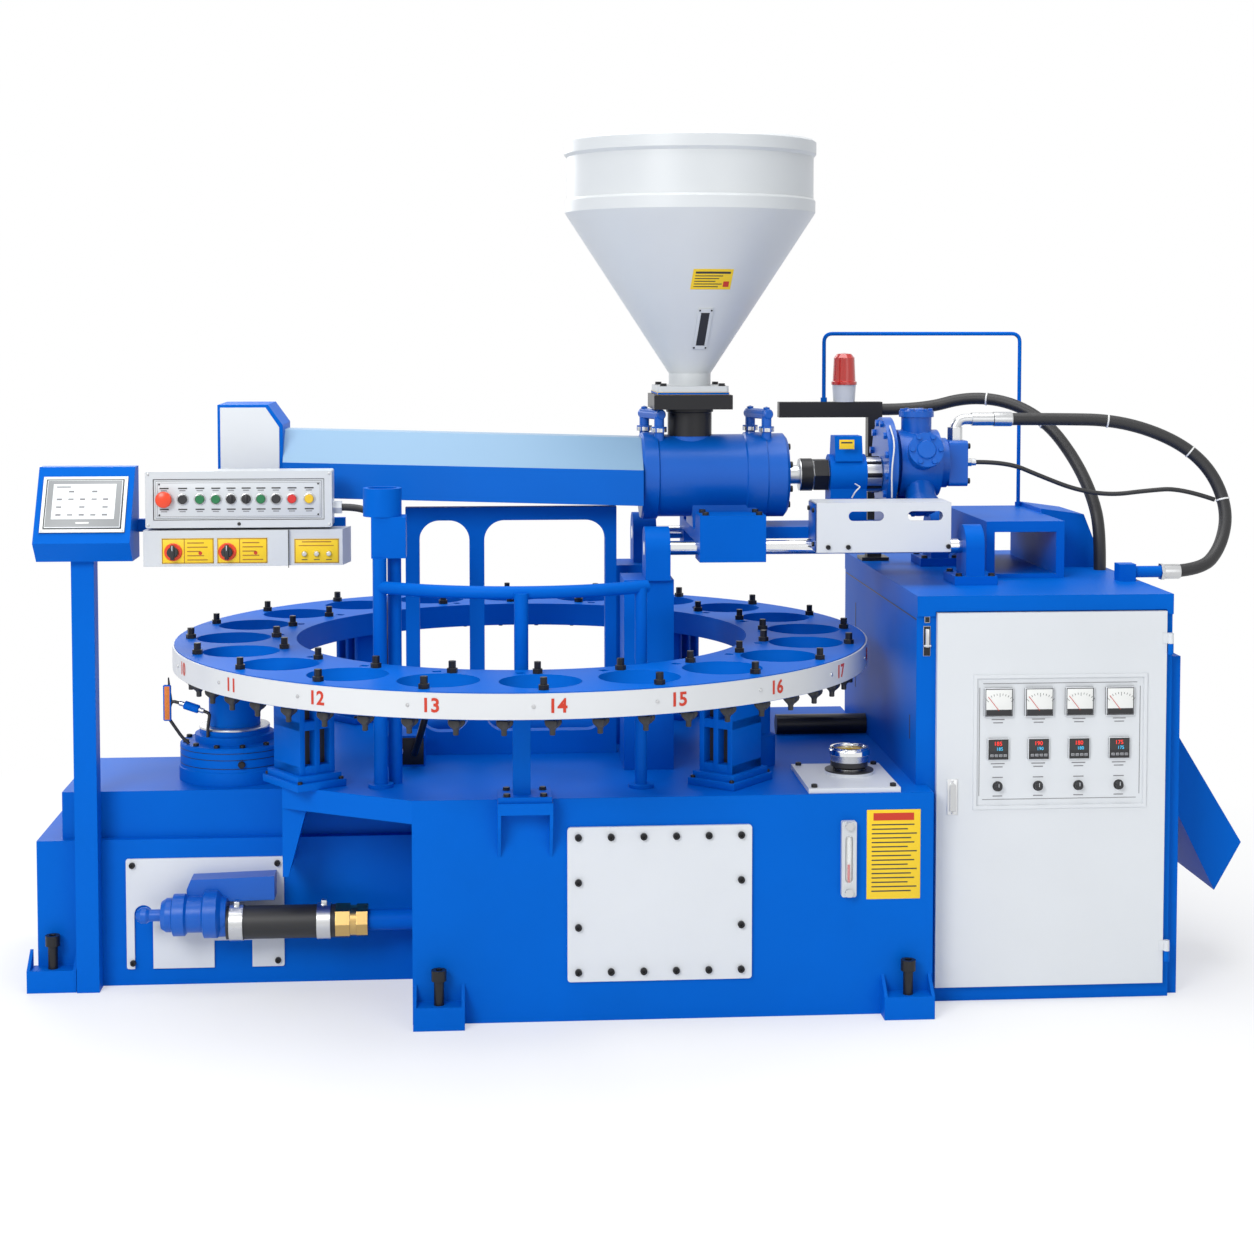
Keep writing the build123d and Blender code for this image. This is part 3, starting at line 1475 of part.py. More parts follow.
export_step(hand_rail.part, "parts/hand_rail.step")

# Rear frame: a portal of plate with two round-cornered windows
frame_top = 1190.0
frame_left = -305.0
frame_right = 246.0
frame_thickness = 40.0
window_beam = 34.0

with BuildPart() as rear_frame:
    with BuildSketch(Plane.XZ.offset(-(unit_y + frame_thickness / 2))):
        with Locations(((frame_left + frame_right) / 2, (deck_top + frame_top) / 2)):
            Rectangle(frame_right - frame_left, frame_top - deck_top)
    extrude(amount=frame_thickness)
    for left, right in ((frame_left + 36, -139.0), (-100.0, frame_right - 30)):
        with BuildSketch(Plane.XZ.offset(-(unit_y + frame_thickness / 2))):
            with Locations(((left + right) / 2, (deck_top + 60 + frame_top - window_beam) / 2)):
                RectangleRounded(right - left, frame_top - window_beam - deck_top - 60, 52)
        extrude(amount=frame_thickness, mode=Mode.SUBTRACT)
rear_frame.part.label = "rear_frame"
export_step(rear_frame.part, "parts/rear_frame.step")

# Support stands: four window stands round the ring, each with a slide pad under the plate
stand_circle = ring_bore + 65.0
stand_angles = (-56.4 - 90, 50.0 - 90, 138.0 - 90, -138.0 - 90)
stand_width = 132.0
stand_depth = 96.0
stand_post = 22.0
stand_base = 34.0
pad_height = 16.0
pad_inset = 24.0

with BuildPart() as support_stands:
    for angle in stand_angles:
        centre = around(stand_circle, angle)
        stand_plane = Plane(origin=(*centre, deck_top), x_dir=(*around(1, angle + 90), 0), z_dir=(0, 0, 1))
        stand_height = plate_bottom - slip - pad_height - deck_top
        with BuildSketch(stand_plane):
            Rectangle(stand_width + 44, stand_depth + 40)
        extrude(amount=stand_base)
        with BuildSketch(stand_plane.offset(stand_base)):
            Rectangle(stand_width, stand_depth)
        extrude(amount=stand_height - stand_base)
        with BuildSketch(stand_plane.offset(stand_height)):
            with Locations((0, pad_inset)):
                Rectangle(stand_width - 30, 30)
        extrude(amount=pad_height)
        front_plane = Plane(
            origin=(*around(stand_circle - stand_depth / 2 - 1, angle), deck_top),
            x_dir=(*around(1, angle + 90), 0),
            z_dir=(*around(1, angle), 0),
        )
        pane_width = (stand_width - 3 * stand_post) / 2
        pane_height = (stand_height - stand_base - 3 * stand_post) / 2
        with BuildSketch(front_plane):
            with Locations((0, -(stand_base + (stand_height - stand_base) / 2))):
                with GridLocations(pane_width + stand_post, pane_height + stand_post, 2, 2):
                    Rectangle(pane_width, pane_height)
        extrude(amount=stand_depth + 2, mode=Mode.SUBTRACT)
support_stands.part.label = "support_stands"
export_step(support_stands.part, "parts/support_stands.step")

# Clamp cylinder under the seat below the nozzle, and its ram
clamp_angle = station_angle(-5)
clamp_spot = around(seat_circle, clamp_angle)
drum_outer = 140.0
ram_radius = 66.0
ram_top = rim_bottom - 4.0
clamp_floor = left_top + 26.0

with BuildPart() as clamp_cylinder:
    with BuildSketch(Plane.XZ.offset(-clamp_spot[1])):
        with BuildLine():
            x0 = clamp_spot[0]
            Polyline(
                (x0, left_top),
                (x0 + drum_outer + 3, left_top),
                (x0 + drum_outer + 3, left_top + 34),
                (x0 + drum_outer, left_top + 36),
                (x0 + drum_outer, left_top + 92),
                (x0 + drum_outer - 4, left_top + 96),
                (x0 + 102, left_top + 98),
                (x0 + 102, left_top + 116),
                (x0 + 90, left_top + 118),
                (x0 + 90, left_top + 130),
                (x0 + ram_radius + run_fit, left_top + 130),
                (x0 + ram_radius + run_fit, clamp_floor),
                (x0, clamp_floor),
                close=True,
            )
        make_face()
    revolve(axis=Axis((*clamp_spot, 0), (0, 0, 1)))
clamp_cylinder.part.label = "clamp_cylinder"
export_step(clamp_cylinder.part, "parts/clamp_cylinder.step")

with BuildPart() as clamp_ram:
    with BuildSketch(Plane.XY.offset(clamp_floor + slip)):
        with Locations(clamp_spot):
            Circle(ram_radius)
    extrude(amount=ram_top - clamp_floor - slip)
    chamfer(clamp_ram.faces().sort_by(Axis.Z)[-1].edges(), 4)
clamp_ram.part.label = "clamp_ram"
export_step(clamp_ram.part, "parts/clamp_ram.step")

# Index cylinder, and the bolt that locks the ring at each station: a round rod, square above
index_spot = around(index_circle, index_angle)
index_body_top = rim_bottom - 30.0
index_floor = deck_top + 100.0
index_drop = 4.0

with BuildPart() as index_cylinder:
    with BuildSketch(Plane.XZ.offset(-index_spot[1])):
        with BuildLine():
            x0 = index_spot[0]
            Polyline(
                (x0, deck_top),
                (x0 + 44, deck_top),
                (x0 + 44, deck_top + 78),
                (x0 + 31, deck_top + 84),
                (x0 + 31, index_body_top),
                (x0 + index_pin_radius + run_fit, index_body_top),
                (x0 + index_pin_radius + run_fit, index_floor),
                (x0, index_floor),
                close=True,
            )
        make_face()
    revolve(axis=Axis((*index_spot, 0), (0, 0, 1)))
index_cylinder.part.label = "index_cylinder"
export_step(index_cylinder.part, "parts/index_cylinder.step")

with BuildPart() as index_pin:
    with BuildSketch(Plane.XY.offset(index_floor + slip)):
        with Locations(index_spot):
            Circle(index_pin_radius)
    extrude(amount=index_body_top + air - index_floor - slip)
    with BuildSketch(Plane.XY.offset(index_body_top + air)):
        with Locations(index_spot):
            Rectangle(2 * index_pin_radius, 2 * index_pin_radius)
    extrude(amount=rim_bottom - index_drop - index_body_top - air)
index_pin.part.label = "index_pin"
export_step(index_pin.part, "parts/index_pin.step")

# Pipes and the valve block on the deck
oil_pipe_radius = 32.0
drain_radius = 26.0

with BuildPart() as deck_pipes:
    with BuildSketch(Plane.YZ.offset(column_left)):
        with Locations((150, deck_top + oil_pipe_radius)):
            Circle(oil_pipe_radius)
    extrude(amount=-508)
    with BuildSketch(Plane.YZ.offset(712)):
        with Locations((175, deck_top + drain_radius)):
            Circle(drain_radius)
    extrude(amount=base_right - 712)
    with BuildSketch(Plane.XY.offset(deck_top)):
        with Locations((-301, -138)):
            Rectangle(94, 96)
    extrude(amount=79)
deck_pipes.part.label = "deck_pipes"
export_step(deck_pipes.part, "parts/deck_pipes.step")

# Operator's post
post_x = -1092.0
post_y = left_front - 28.0
post_top = 1085.0
arm_right = -450.0
arm_y = -203.0
arm_z = 1165.0

with BuildPart() as panel_post:
    with BuildSketch(Plane.XY):
        with Locations((post_x, post_y)):
            Rectangle(56, 54)
    extrude(amount=post_top)
panel_post.part.label = "panel_post"
export_step(panel_post.part, "parts/panel_post.step")

# Touch panel housing, a wedge tilted back, with the arm behind the boxes
housing_x = -1199.0
housing_width = 234.0
face_bottom = (-345.0, 1134.0)
face_length = 208.0
face_top = (
    face_bottom[0] + face_length * sin(radians(screen_tilt)),
    face_bottom[1] + face_length * cos(radians(screen_tilt)),
)
screen_size = (204.0, 150.0)
screen_depth = 12.0
face_plane = Plane(
    origin=(
        housing_x + housing_width / 2,
        (face_bottom[0] + face_top[0]) / 2,
        (face_bottom[1] + face_top[1]) / 2,
    ),
    x_dir=(1, 0, 0),
    z_dir=(0, -cos(radians(screen_tilt)), sin(radians(screen_tilt))),
)

with BuildPart() as panel_housing:
    with BuildSketch(Plane.YZ.offset(housing_x)):
        with BuildLine():
            Polyline(
                face_bottom,
                face_top,
                (arm_y + 11, face_top[1]),
                (arm_y + 11, post_top),
                (face_bottom[0] + 45, post_top),
                close=True,
            )
        make_face()
    extrude(amount=housing_width)
    with BuildSketch(face_plane):
        Rectangle(screen_size[0] + 2 * slip, screen_size[1] + 2 * slip)
    extrude(amount=-screen_depth, mode=Mode.SUBTRACT)
    with BuildSketch(Plane.YZ.offset(housing_x + housing_width)):
        with Locations((arm_y, arm_z)):
            Rectangle(22, 32)
    extrude(amount=arm_right - housing_x - housing_width)
panel_housing.part.label = "panel_housing"
export_step(panel_housing.part, "parts/panel_housing.step")

with BuildPart() as touch_screen:
    with BuildSketch(face_plane.offset(-screen_depth)):
        RectangleRounded(*screen_size, 6)
    extrude(amount=screen_depth + 4)
    with BuildSketch(face_plane.offset(4)):
        Rectangle(screen_size[0] - 34, screen_size[1] - 46)
    extrude(amount=-2, mode=Mode.SUBTRACT)
touch_screen.part.label = "touch_screen"
export_step(touch_screen.part, "parts/touch_screen.step")

# Control box with its recessed front and the holes for ten devices
box_span = (-933.0, -477.0)
box_heights = (1166.0, 1306.0)
device_z = 1237.0
device_xs = (-887.0, -842.0, -800.0, -761.0, -724.0, -687.0, -651.0, -614.0, -575.0, -533.0)
device_bore = 11.0
recess = 3.0
gland_y = -262.0
gland_z = 1212.0
panel_back = arm_y - 11.0

with BuildPart() as control_box:
    with BuildSketch(Plane.XZ.offset(-panel_front)):
        with Locations(((box_span[0] + box_span[1]) / 2, (box_heights[0] + box_heights[1]) / 2)):
            RectangleRounded(box_span[1] - box_span[0], box_heights[1] - box_heights[0], 5)
    extrude(amount=-(panel_back - panel_front))
    with BuildSketch(Plane.XZ.offset(-panel_front)):
        with Locations(((box_span[0] + box_span[1]) / 2, (box_heights[0] + box_heights[1]) / 2)):
            Rectangle(box_span[1] - box_span[0] - 38, box_heights[1] - box_heights[0] - 38)
    extrude(amount=-recess, mode=Mode.SUBTRACT)
    with BuildSketch(Plane.XZ.offset(-panel_front)):
        with Locations(*[(x, device_z) for x in device_xs]):
            Circle(device_bore + slip)
    extrude(amount=-40, mode=Mode.SUBTRACT)
    # Gland for the control cable
    with BuildSketch(Plane.YZ.offset(box_span[1])):
        with Locations((gland_y, gland_z)):
            RegularPolygon(17, 6)
    extrude(amount=22)
control_box.part.label = "control_box"
export_step(control_box.part, "parts/control_box.step")

# Push buttons, as one group of separate pieces
with BuildPart() as push_buttons:
    button_xs = device_xs[1:]
    with BuildSketch(Plane.XZ.offset(-(panel_front + recess))):
        with Locations(*[(x, device_z) for x in button_xs]):
            Circle(15)
    extrude(amount=5)
    with BuildSketch(Plane.XZ.offset(-(panel_front + recess) + 5)):
        with Locations(*[(x, device_z) for x in button_xs]):
            Circle(11.5)
    extrude(amount=7)
    with BuildSketch(Plane.XZ.offset(-(panel_front + recess))):
        with Locations(*[(x, device_z) for x in button_xs]):
            Circle(device_bore)
    extrude(amount=-34)
push_buttons.part.label = "push_buttons"
export_step(push_buttons.part, "parts/push_buttons.step")

# Emergency stop: a mushroom head on its stem, 6 mm of travel
stop_travel = 6.0

with BuildPart() as emergency_stop:
    with BuildSketch(Plane.XZ.offset(-(panel_front + recess) + stop_travel + 1)):
        with Locations((device_xs[0], device_z)):
            Circle(20)
    extrude(amount=14, taper=12)
    with BuildSketch(Plane.XZ.offset(-(panel_front + recess) + stop_travel + 1)):
        with Locations((device_xs[0], device_z)):
            Circle(device_bore - slip)
    extrude(amount=-(26 + stop_travel + 1))
emergency_stop.part.label = "emergency_stop"
export_step(emergency_stop.part, "parts/emergency_stop.step")

# Switch box below, in two steps, with two rotary switches
switch_split = -584.0
switch_span = (-939.0, -436.0)
switch_heights = (1071.0, box_heights[0] - 6.0)
switch_front = panel_front - 2.0
rotary_xs = (-866.0, -734.0)
rotary_z = 1107.0

with BuildPart() as switch_box:
    with BuildSketch(Plane.XY.offset(switch_heights[0])):
        with BuildLine():
            Polyline(
                (switch_span[0], switch_front),
                (switch_split, switch_front),
                (switch_split, switch_front + 8),
                (switch_span[1] - 16, switch_front + 8),
                (switch_span[1], panel_back),
                (switch_span[0], panel_back),
                close=True,
            )
        make_face()
    extrude(amount=switch_heights[1] - switch_heights[0])
    with BuildSketch(Plane.XZ.offset(-switch_front)):
        with Locations(*[(x, rotary_z) for x in rotary_xs]):
            Circle(device_bore + slip)
    extrude(amount=-40, mode=Mode.SUBTRACT)
switch_box.part.label = "switch_box"
export_step(switch_box.part, "parts/switch_box.step")


def rotary_switch(centre_x):
    """Round collar with a grip bar and a spindle in the box's hole."""
    with BuildPart() as switch:
        with BuildSketch(Plane.XZ.offset(-switch_front + slip)):
            with Locations((centre_x, rotary_z)):
                Circle(22)
        extrude(amount=5)
        with BuildSketch(Plane.XZ.offset(-switch_front + slip + 5)):
            with Locations((centre_x, rotary_z)):
                Circle(14)
                SlotOverall(38, 11, rotation=90)
        extrude(amount=15)
        with BuildSketch(Plane.XZ.offset(-switch_front + slip)):
            with Locations((centre_x, rotary_z)):
                Circle(device_bore)
        extrude(amount=-30)
    return switch.part


for switch_name, switch_x in zip(("rotary_switch_left", "rotary_switch_right"), rotary_xs):
    switch_part = rotary_switch(switch_x)
    switch_part.label = switch_name
    export_step(switch_part, f"parts/{switch_name}.step")

# Hoses and cables: straight runs joined by arcs
pressure_hose_points = [
    (elbow_end, unit_y, elbow_top),
    (1420, unit_y, elbow_top),
    (1585, -44, 1412),
    (1730, -70, 1362),
    (1818, -98, 1286),
    (1856, -125, 1178),
    (1824, -168, 1084),
    (1752, port_y, cabinet_top + port_height),
    (port_x + port_reach, port_y, cabinet_top + port_height),
]
return_hose_points = [
    (mast_x + 20, mast_y, 1428),
    (1130, mast_y, 1428),
    (1250, 272, 1464),
    (1362, 230, 1452),
    (1452, 174, 1396),
    (1512, 112, 1300),
    (1546, 52, 1200),
    (1556, 14, 1110),
    (1556, 14, cabinet_top),
]
pilot_cable_points = [
    (valve_right + 28, unit_y - 18, pilot_z),
    (1285, unit_y - 18, pilot_z),
    (1375, -48, 1264),
    (1467, -54, 1228),
    (1560, -64, 1214),
    (1650, -76, 1226),
    (1740, -92, 1234),
    (1826, -110, 1204),
]
control_cable_points = [
    (box_span[1] + 22, gland_y, gland_z),
    (-393, gland_y, gland_z),
    (-346, -268, 1164),
    (-326, -285, 1090),
    (-334, -310, 975),
    (-345, -334, 840),
    (-352, -346, 690),
    (-352, -346, deck_top),
]


def corner_radii(points):
    """Largest arc at each corner that its two runs leave room for."""
    radii = []
    for before, corner, after in zip(points, points[1:], points[2:]):
        come = Vector(*corner) - Vector(*before)
        leave = Vector(*after) - Vector(*corner)
        half_turn = radians(come.get_angle(leave)) / 2
        radii.append(0.45 * min(come.length, leave.length) / tan(half_turn))
    return radii


def tube(name, points, radius):
    """Plain round tube along straight runs and tangent arcs, saved under its name."""
    radii = corner_radii(points)
    with BuildPart() as cord:
        with BuildLine() as route:
            FilletPolyline(*points, radius=radii)
        with BuildSketch(Plane(origin=route.line @ 0, z_dir=route.line % 0)):
            Circle(radius)
        sweep(path=route.line)
    cord.part.label = name
    export_step(cord.part, f"parts/{name}.step")
    length = route.wire().length
    share = cord.part.volume / (pi * radius**2 * length)
    print(name, "length", round(length), "volume share", round(share, 4))
    print("arc radii", [round(value) for value in radii])


hose_radius = 16.5
cable_radius = 6.0
control_cable_radius = 9.0

tube("pressure_hose", pressure_hose_points, hose_radius)
tube("return_hose", return_hose_points, hose_radius)
tube("pilot_cable", pilot_cable_points, cable_radius)
tube("control_cable", control_cable_points, control_cable_radius)
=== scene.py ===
from math import cos, pi, radians, sin

import bmesh
import bpy
from mathutils import Matrix, Vector


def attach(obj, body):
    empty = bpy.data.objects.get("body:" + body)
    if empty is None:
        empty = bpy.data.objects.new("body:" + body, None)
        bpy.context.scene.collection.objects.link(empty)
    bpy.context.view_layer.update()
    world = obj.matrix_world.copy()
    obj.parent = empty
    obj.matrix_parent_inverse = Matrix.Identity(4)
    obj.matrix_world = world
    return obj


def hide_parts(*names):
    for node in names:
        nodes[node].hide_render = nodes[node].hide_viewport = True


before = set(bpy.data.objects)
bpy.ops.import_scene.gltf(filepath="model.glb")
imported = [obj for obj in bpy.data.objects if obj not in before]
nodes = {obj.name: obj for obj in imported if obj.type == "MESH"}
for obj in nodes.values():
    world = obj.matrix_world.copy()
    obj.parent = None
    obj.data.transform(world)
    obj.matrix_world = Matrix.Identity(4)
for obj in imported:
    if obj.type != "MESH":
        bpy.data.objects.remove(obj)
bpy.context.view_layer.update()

# Lengths in this script are in millimetres, and each piece is brought to metres when it is finished
MM = 0.001
FRONT, BACK = (0, -1, 0), (0, 1, 0)
LEFT, RIGHT = (-1, 0, 0), (1, 0, 0)
UP = (0, 0, 1)

# Places that several pieces share
UNIT_Y, UNIT_Z = -23.622, 1270.0
HOPPER_X = 440
MOTOR_X, MOTOR_Z = 1044, 1300
ROD_YS = (UNIT_Y - 206, UNIT_Y + 206)
ELBOW_Z = 1415
PORT_Y, PORT_Z = -222, 1028
CLAMP_X = -751.6
BASE_FRONT = -576.0
DECK = 540.0
BAND, BAND_Z = 905.0, 821
DOOR_FRONT = -510.0
PANEL_FRONT = -300.0


# Materials

def surface(name, color, rough=0.4, metal=0.0, peel=0.06, grain=260.0, mottle=0.05, edge=1.5, **sockets):
    """Painted, plastic or metal surface: fine bump, faint colour and gloss variation, soft edges."""
    material = bpy.data.materials.new(name)
    material.use_nodes = True
    tree = material.node_tree
    shader = tree.nodes["Principled BSDF"]
    shader.inputs["Metallic"].default_value = metal
    for key, value in sockets.items():
        shader.inputs[key.replace("_", " ")].default_value = value

    def add(kind, **settings):
        node = tree.nodes.new("ShaderNode" + kind)
        for key, value in settings.items():
            if hasattr(node, key):
                setattr(node, key, value)
            else:
                node.inputs[key.replace("_", " ")].default_value = value
        return node

    place = add("TexCoord")
    stretch = add("Mapping")
    stretch.inputs["Scale"].default_value = (0.05, 1, 1) if name.endswith("_brushed") else (1, 1, 1)
    tree.links.new(place.outputs["Object"], stretch.inputs["Vector"])
    fine = add("TexNoise", Scale=grain, Detail=3.0)
    broad = add("TexNoise", Scale=3.1, Detail=4.0)
    for texture in (fine, broad):
        tree.links.new(stretch.outputs["Vector"], texture.inputs["Vector"])
    bump = add("Bump", Strength=peel, Distance=0.001)
    tree.links.new(fine.outputs["Fac"], bump.inputs["Height"])
    if edge:
        soft = add("Bevel", samples=4, Radius=edge * MM)
        tree.links.new(soft.outputs["Normal"], bump.inputs["Normal"])
    tree.links.new(bump.outputs["Normal"], shader.inputs["Normal"])
    shade = add("MapRange")
    shade.inputs["From Min"].default_value = 0.3
    shade.inputs["From Max"].default_value = 0.7
    shade.inputs["To Min"].default_value = 1 - mottle
    shade.inputs["To Max"].default_value = 1 + mottle
    tree.links.new(broad.outputs["Fac"], shade.inputs["Value"])
    tint = add("VectorMath", operation="SCALE")
    tint.inputs[0].default_value = color
    tree.links.new(shade.outputs["Result"], tint.inputs["Scale"])
    tree.links.new(tint.outputs["Vector"], shader.inputs["Base Color"])
    gloss = add("MapRange")
    gloss.inputs["To Min"].default_value = max(0.02, rough - 0.07)
    gloss.inputs["To Max"].default_value = rough + 0.07
    tree.links.new(broad.outputs["Fac"], gloss.inputs["Value"])
    tree.links.new(gloss.outputs["Result"], shader.inputs["Roughness"])
    return material


BLUE = surface("blue_enamel", (0.0, 0.118, 0.56), 0.44, peel=0.05, Specular_IOR_Level=0.05)
CAST = surface("blue_casting", (0.0, 0.104, 0.50), 0.34, peel=0.25, grain=120.0, Specular_IOR_Level=0.4)
# The hood's blue; further down, its upward faces get painted light
HOOD_BLUE_LIT_TOP = surface("hood_enamel_painted_light", (0.0, 0.128, 0.57), 0.36, Specular_IOR_Level=0.16)
WHITE = surface("white_enamel", (0.70, 0.72, 0.74), 0.38, peel=0.08, mottle=0.02)
SILVER = surface("silver_enamel", (0.60, 0.62, 0.635), 0.34, peel=0.06, mottle=0.03)
GREY = surface("hopper_enamel", (0.62, 0.64, 0.65), 0.36, peel=0.06, mottle=0.03)
BAND_WHITE = surface("band_enamel", (0.67, 0.68, 0.69), 0.36, mottle=0.03)
STEEL = surface("machined_steel", (0.60, 0.61, 0.62), 0.28, 1.0, peel=0.08, grain=500.0)
BRUSHED = surface("steel_brushed", (0.66, 0.67, 0.68), 0.30, 1.0, peel=0.12, grain=700.0)
CHROME = surface("hard_chrome", (0.78, 0.79, 0.80), 0.10, 1.0, peel=0.01, mottle=0.01)
BRASS = surface("brass_union", (0.62, 0.42, 0.16), 0.25, 1.0, peel=0.05)
BLACK = surface("black_plastic", (0.018, 0.018, 0.02), 0.42, peel=0.15, grain=600.0)
OXIDE = surface("black_oxide", (0.022, 0.022, 0.024), 0.38, 0.6, peel=0.08, grain=500.0)
RUBBER = surface("hose_rubber", (0.016, 0.016, 0.017), 0.48, peel=0.18, grain=350.0, edge=0)
RED = surface("red_plastic", (0.62, 0.012, 0.01), 0.25, mottle=0.02, Coat_Weight=0.4)
BEZEL = surface("grey_bezel", (0.30, 0.31, 0.315), 0.45)
ORANGE_RED = surface("orange_red_plastic", (0.80, 0.06, 0.015), 0.3, mottle=0.02)
GREEN = surface("green_plastic", (0.0, 0.16, 0.045), 0.25, mottle=0.02, Coat_Weight=0.4)
YELLOW = surface("yellow_plastic", (0.80, 0.50, 0.01), 0.28, mottle=0.02, Coat_Weight=0.3)
LABEL = surface("yellow_film", (0.86, 0.58, 0.012), 0.42, peel=0.02, mottle=0.02, edge=0)
INK = surface("black_print", (0.03, 0.03, 0.03), 0.5, peel=0.0, mottle=0.02, edge=0)
RED_INK = surface("red_print", (0.55, 0.03, 0.006), 0.45, peel=0.0, mottle=0.03, edge=0)
GREY_INK = surface("grey_print", (0.22, 0.22, 0.23), 0.5, peel=0.0, mottle=0.02, edge=0)
PAPER = surface("dial_face", (0.82, 0.82, 0.79), 0.5, peel=0.01, mottle=0.02, edge=0)
ORANGE = surface("orange_pouch", (0.75, 0.20, 0.02), 0.55, peel=0.3, grain=500.0)
LENS = surface("beacon_lens", (0.60, 0.015, 0.008), 0.15, peel=0.3, grain=90.0, mottle=0.05, Coat_Weight=0.6)
CLEAR = surface("clear_acrylic", (0.9, 0.92, 0.92), 0.06, peel=0.0, mottle=0.0, Alpha=0.25)
TIE = surface("white_nylon", (0.75, 0.75, 0.73), 0.4)
BROWN_INK = surface("brown_print", (0.36, 0.15, 0.01), 0.5, peel=0.0, mottle=0.02, edge=0)


def pale_on_top(material, color):
    """Painted light: fades the colour to a paler tone on the faces that look up, as if more light falls on
    them.
    """
    tree = material.node_tree
    shader = tree.nodes["Principled BSDF"]
    place = tree.nodes.new("ShaderNodeNewGeometry")
    parts = tree.nodes.new("ShaderNodeSeparateXYZ")
    tree.links.new(place.outputs["Normal"], parts.inputs["Vector"])
    fade = tree.nodes.new("ShaderNodeMapRange")
    fade.inputs["From Min"].default_value = 0.35
    fade.inputs["From Max"].default_value = 0.7
    tree.links.new(parts.outputs["Z"], fade.inputs["Value"])
    mix = tree.nodes.new("ShaderNodeMix")
    mix.data_type = "RGBA"
    tree.links.new(fade.outputs["Result"], mix.inputs["Factor"])
    tree.links.new(shader.inputs["Base Color"].links[0].from_socket, mix.inputs["A"])
    mix.inputs["B"].default_value = (*color, 1)
    tree.links.new(mix.outputs["Result"], shader.inputs["Base Color"])


# Painted light on the hood: its upward faces are made paler, standing in for the light on its slope
pale_on_top(HOOD_BLUE_LIT_TOP, (0.25, 0.40, 0.56))


def glow(name, color, strength):
    """Lit segment of a display: a dark face with its own light."""
    return surface(name, color, 0.4, peel=0.0, mottle=0.01, edge=0,
                   Emission_Color=(*color, 1), Emission_Strength=strength)


SCREEN = glow("lit_screen", (0.80, 0.83, 0.84), 0.12)
DIGIT_RED = glow("lit_red", (0.9, 0.03, 0.02), 0.8)
DIGIT_BLUE = glow("lit_cyan", (0.05, 0.45, 0.75), 0.7)


# Mesh building

def placed(origin, axis, across=None):
    """Matrix whose Z lies along axis, with its origin at one point."""
    z = Vector(axis).normalized()
    x = Vector(across) if across else Vector((1, 0, 0) if abs(z.x) < 0.9 else (0, 1, 0))
    y = z.cross(x).normalized()
    x = y.cross(z)
    return Matrix.Translation(Vector(origin)) @ Matrix((x, y, z)).transposed().to_4x4()


# Font size that gives digits one unit high
DIGIT_SIZE = 1.42


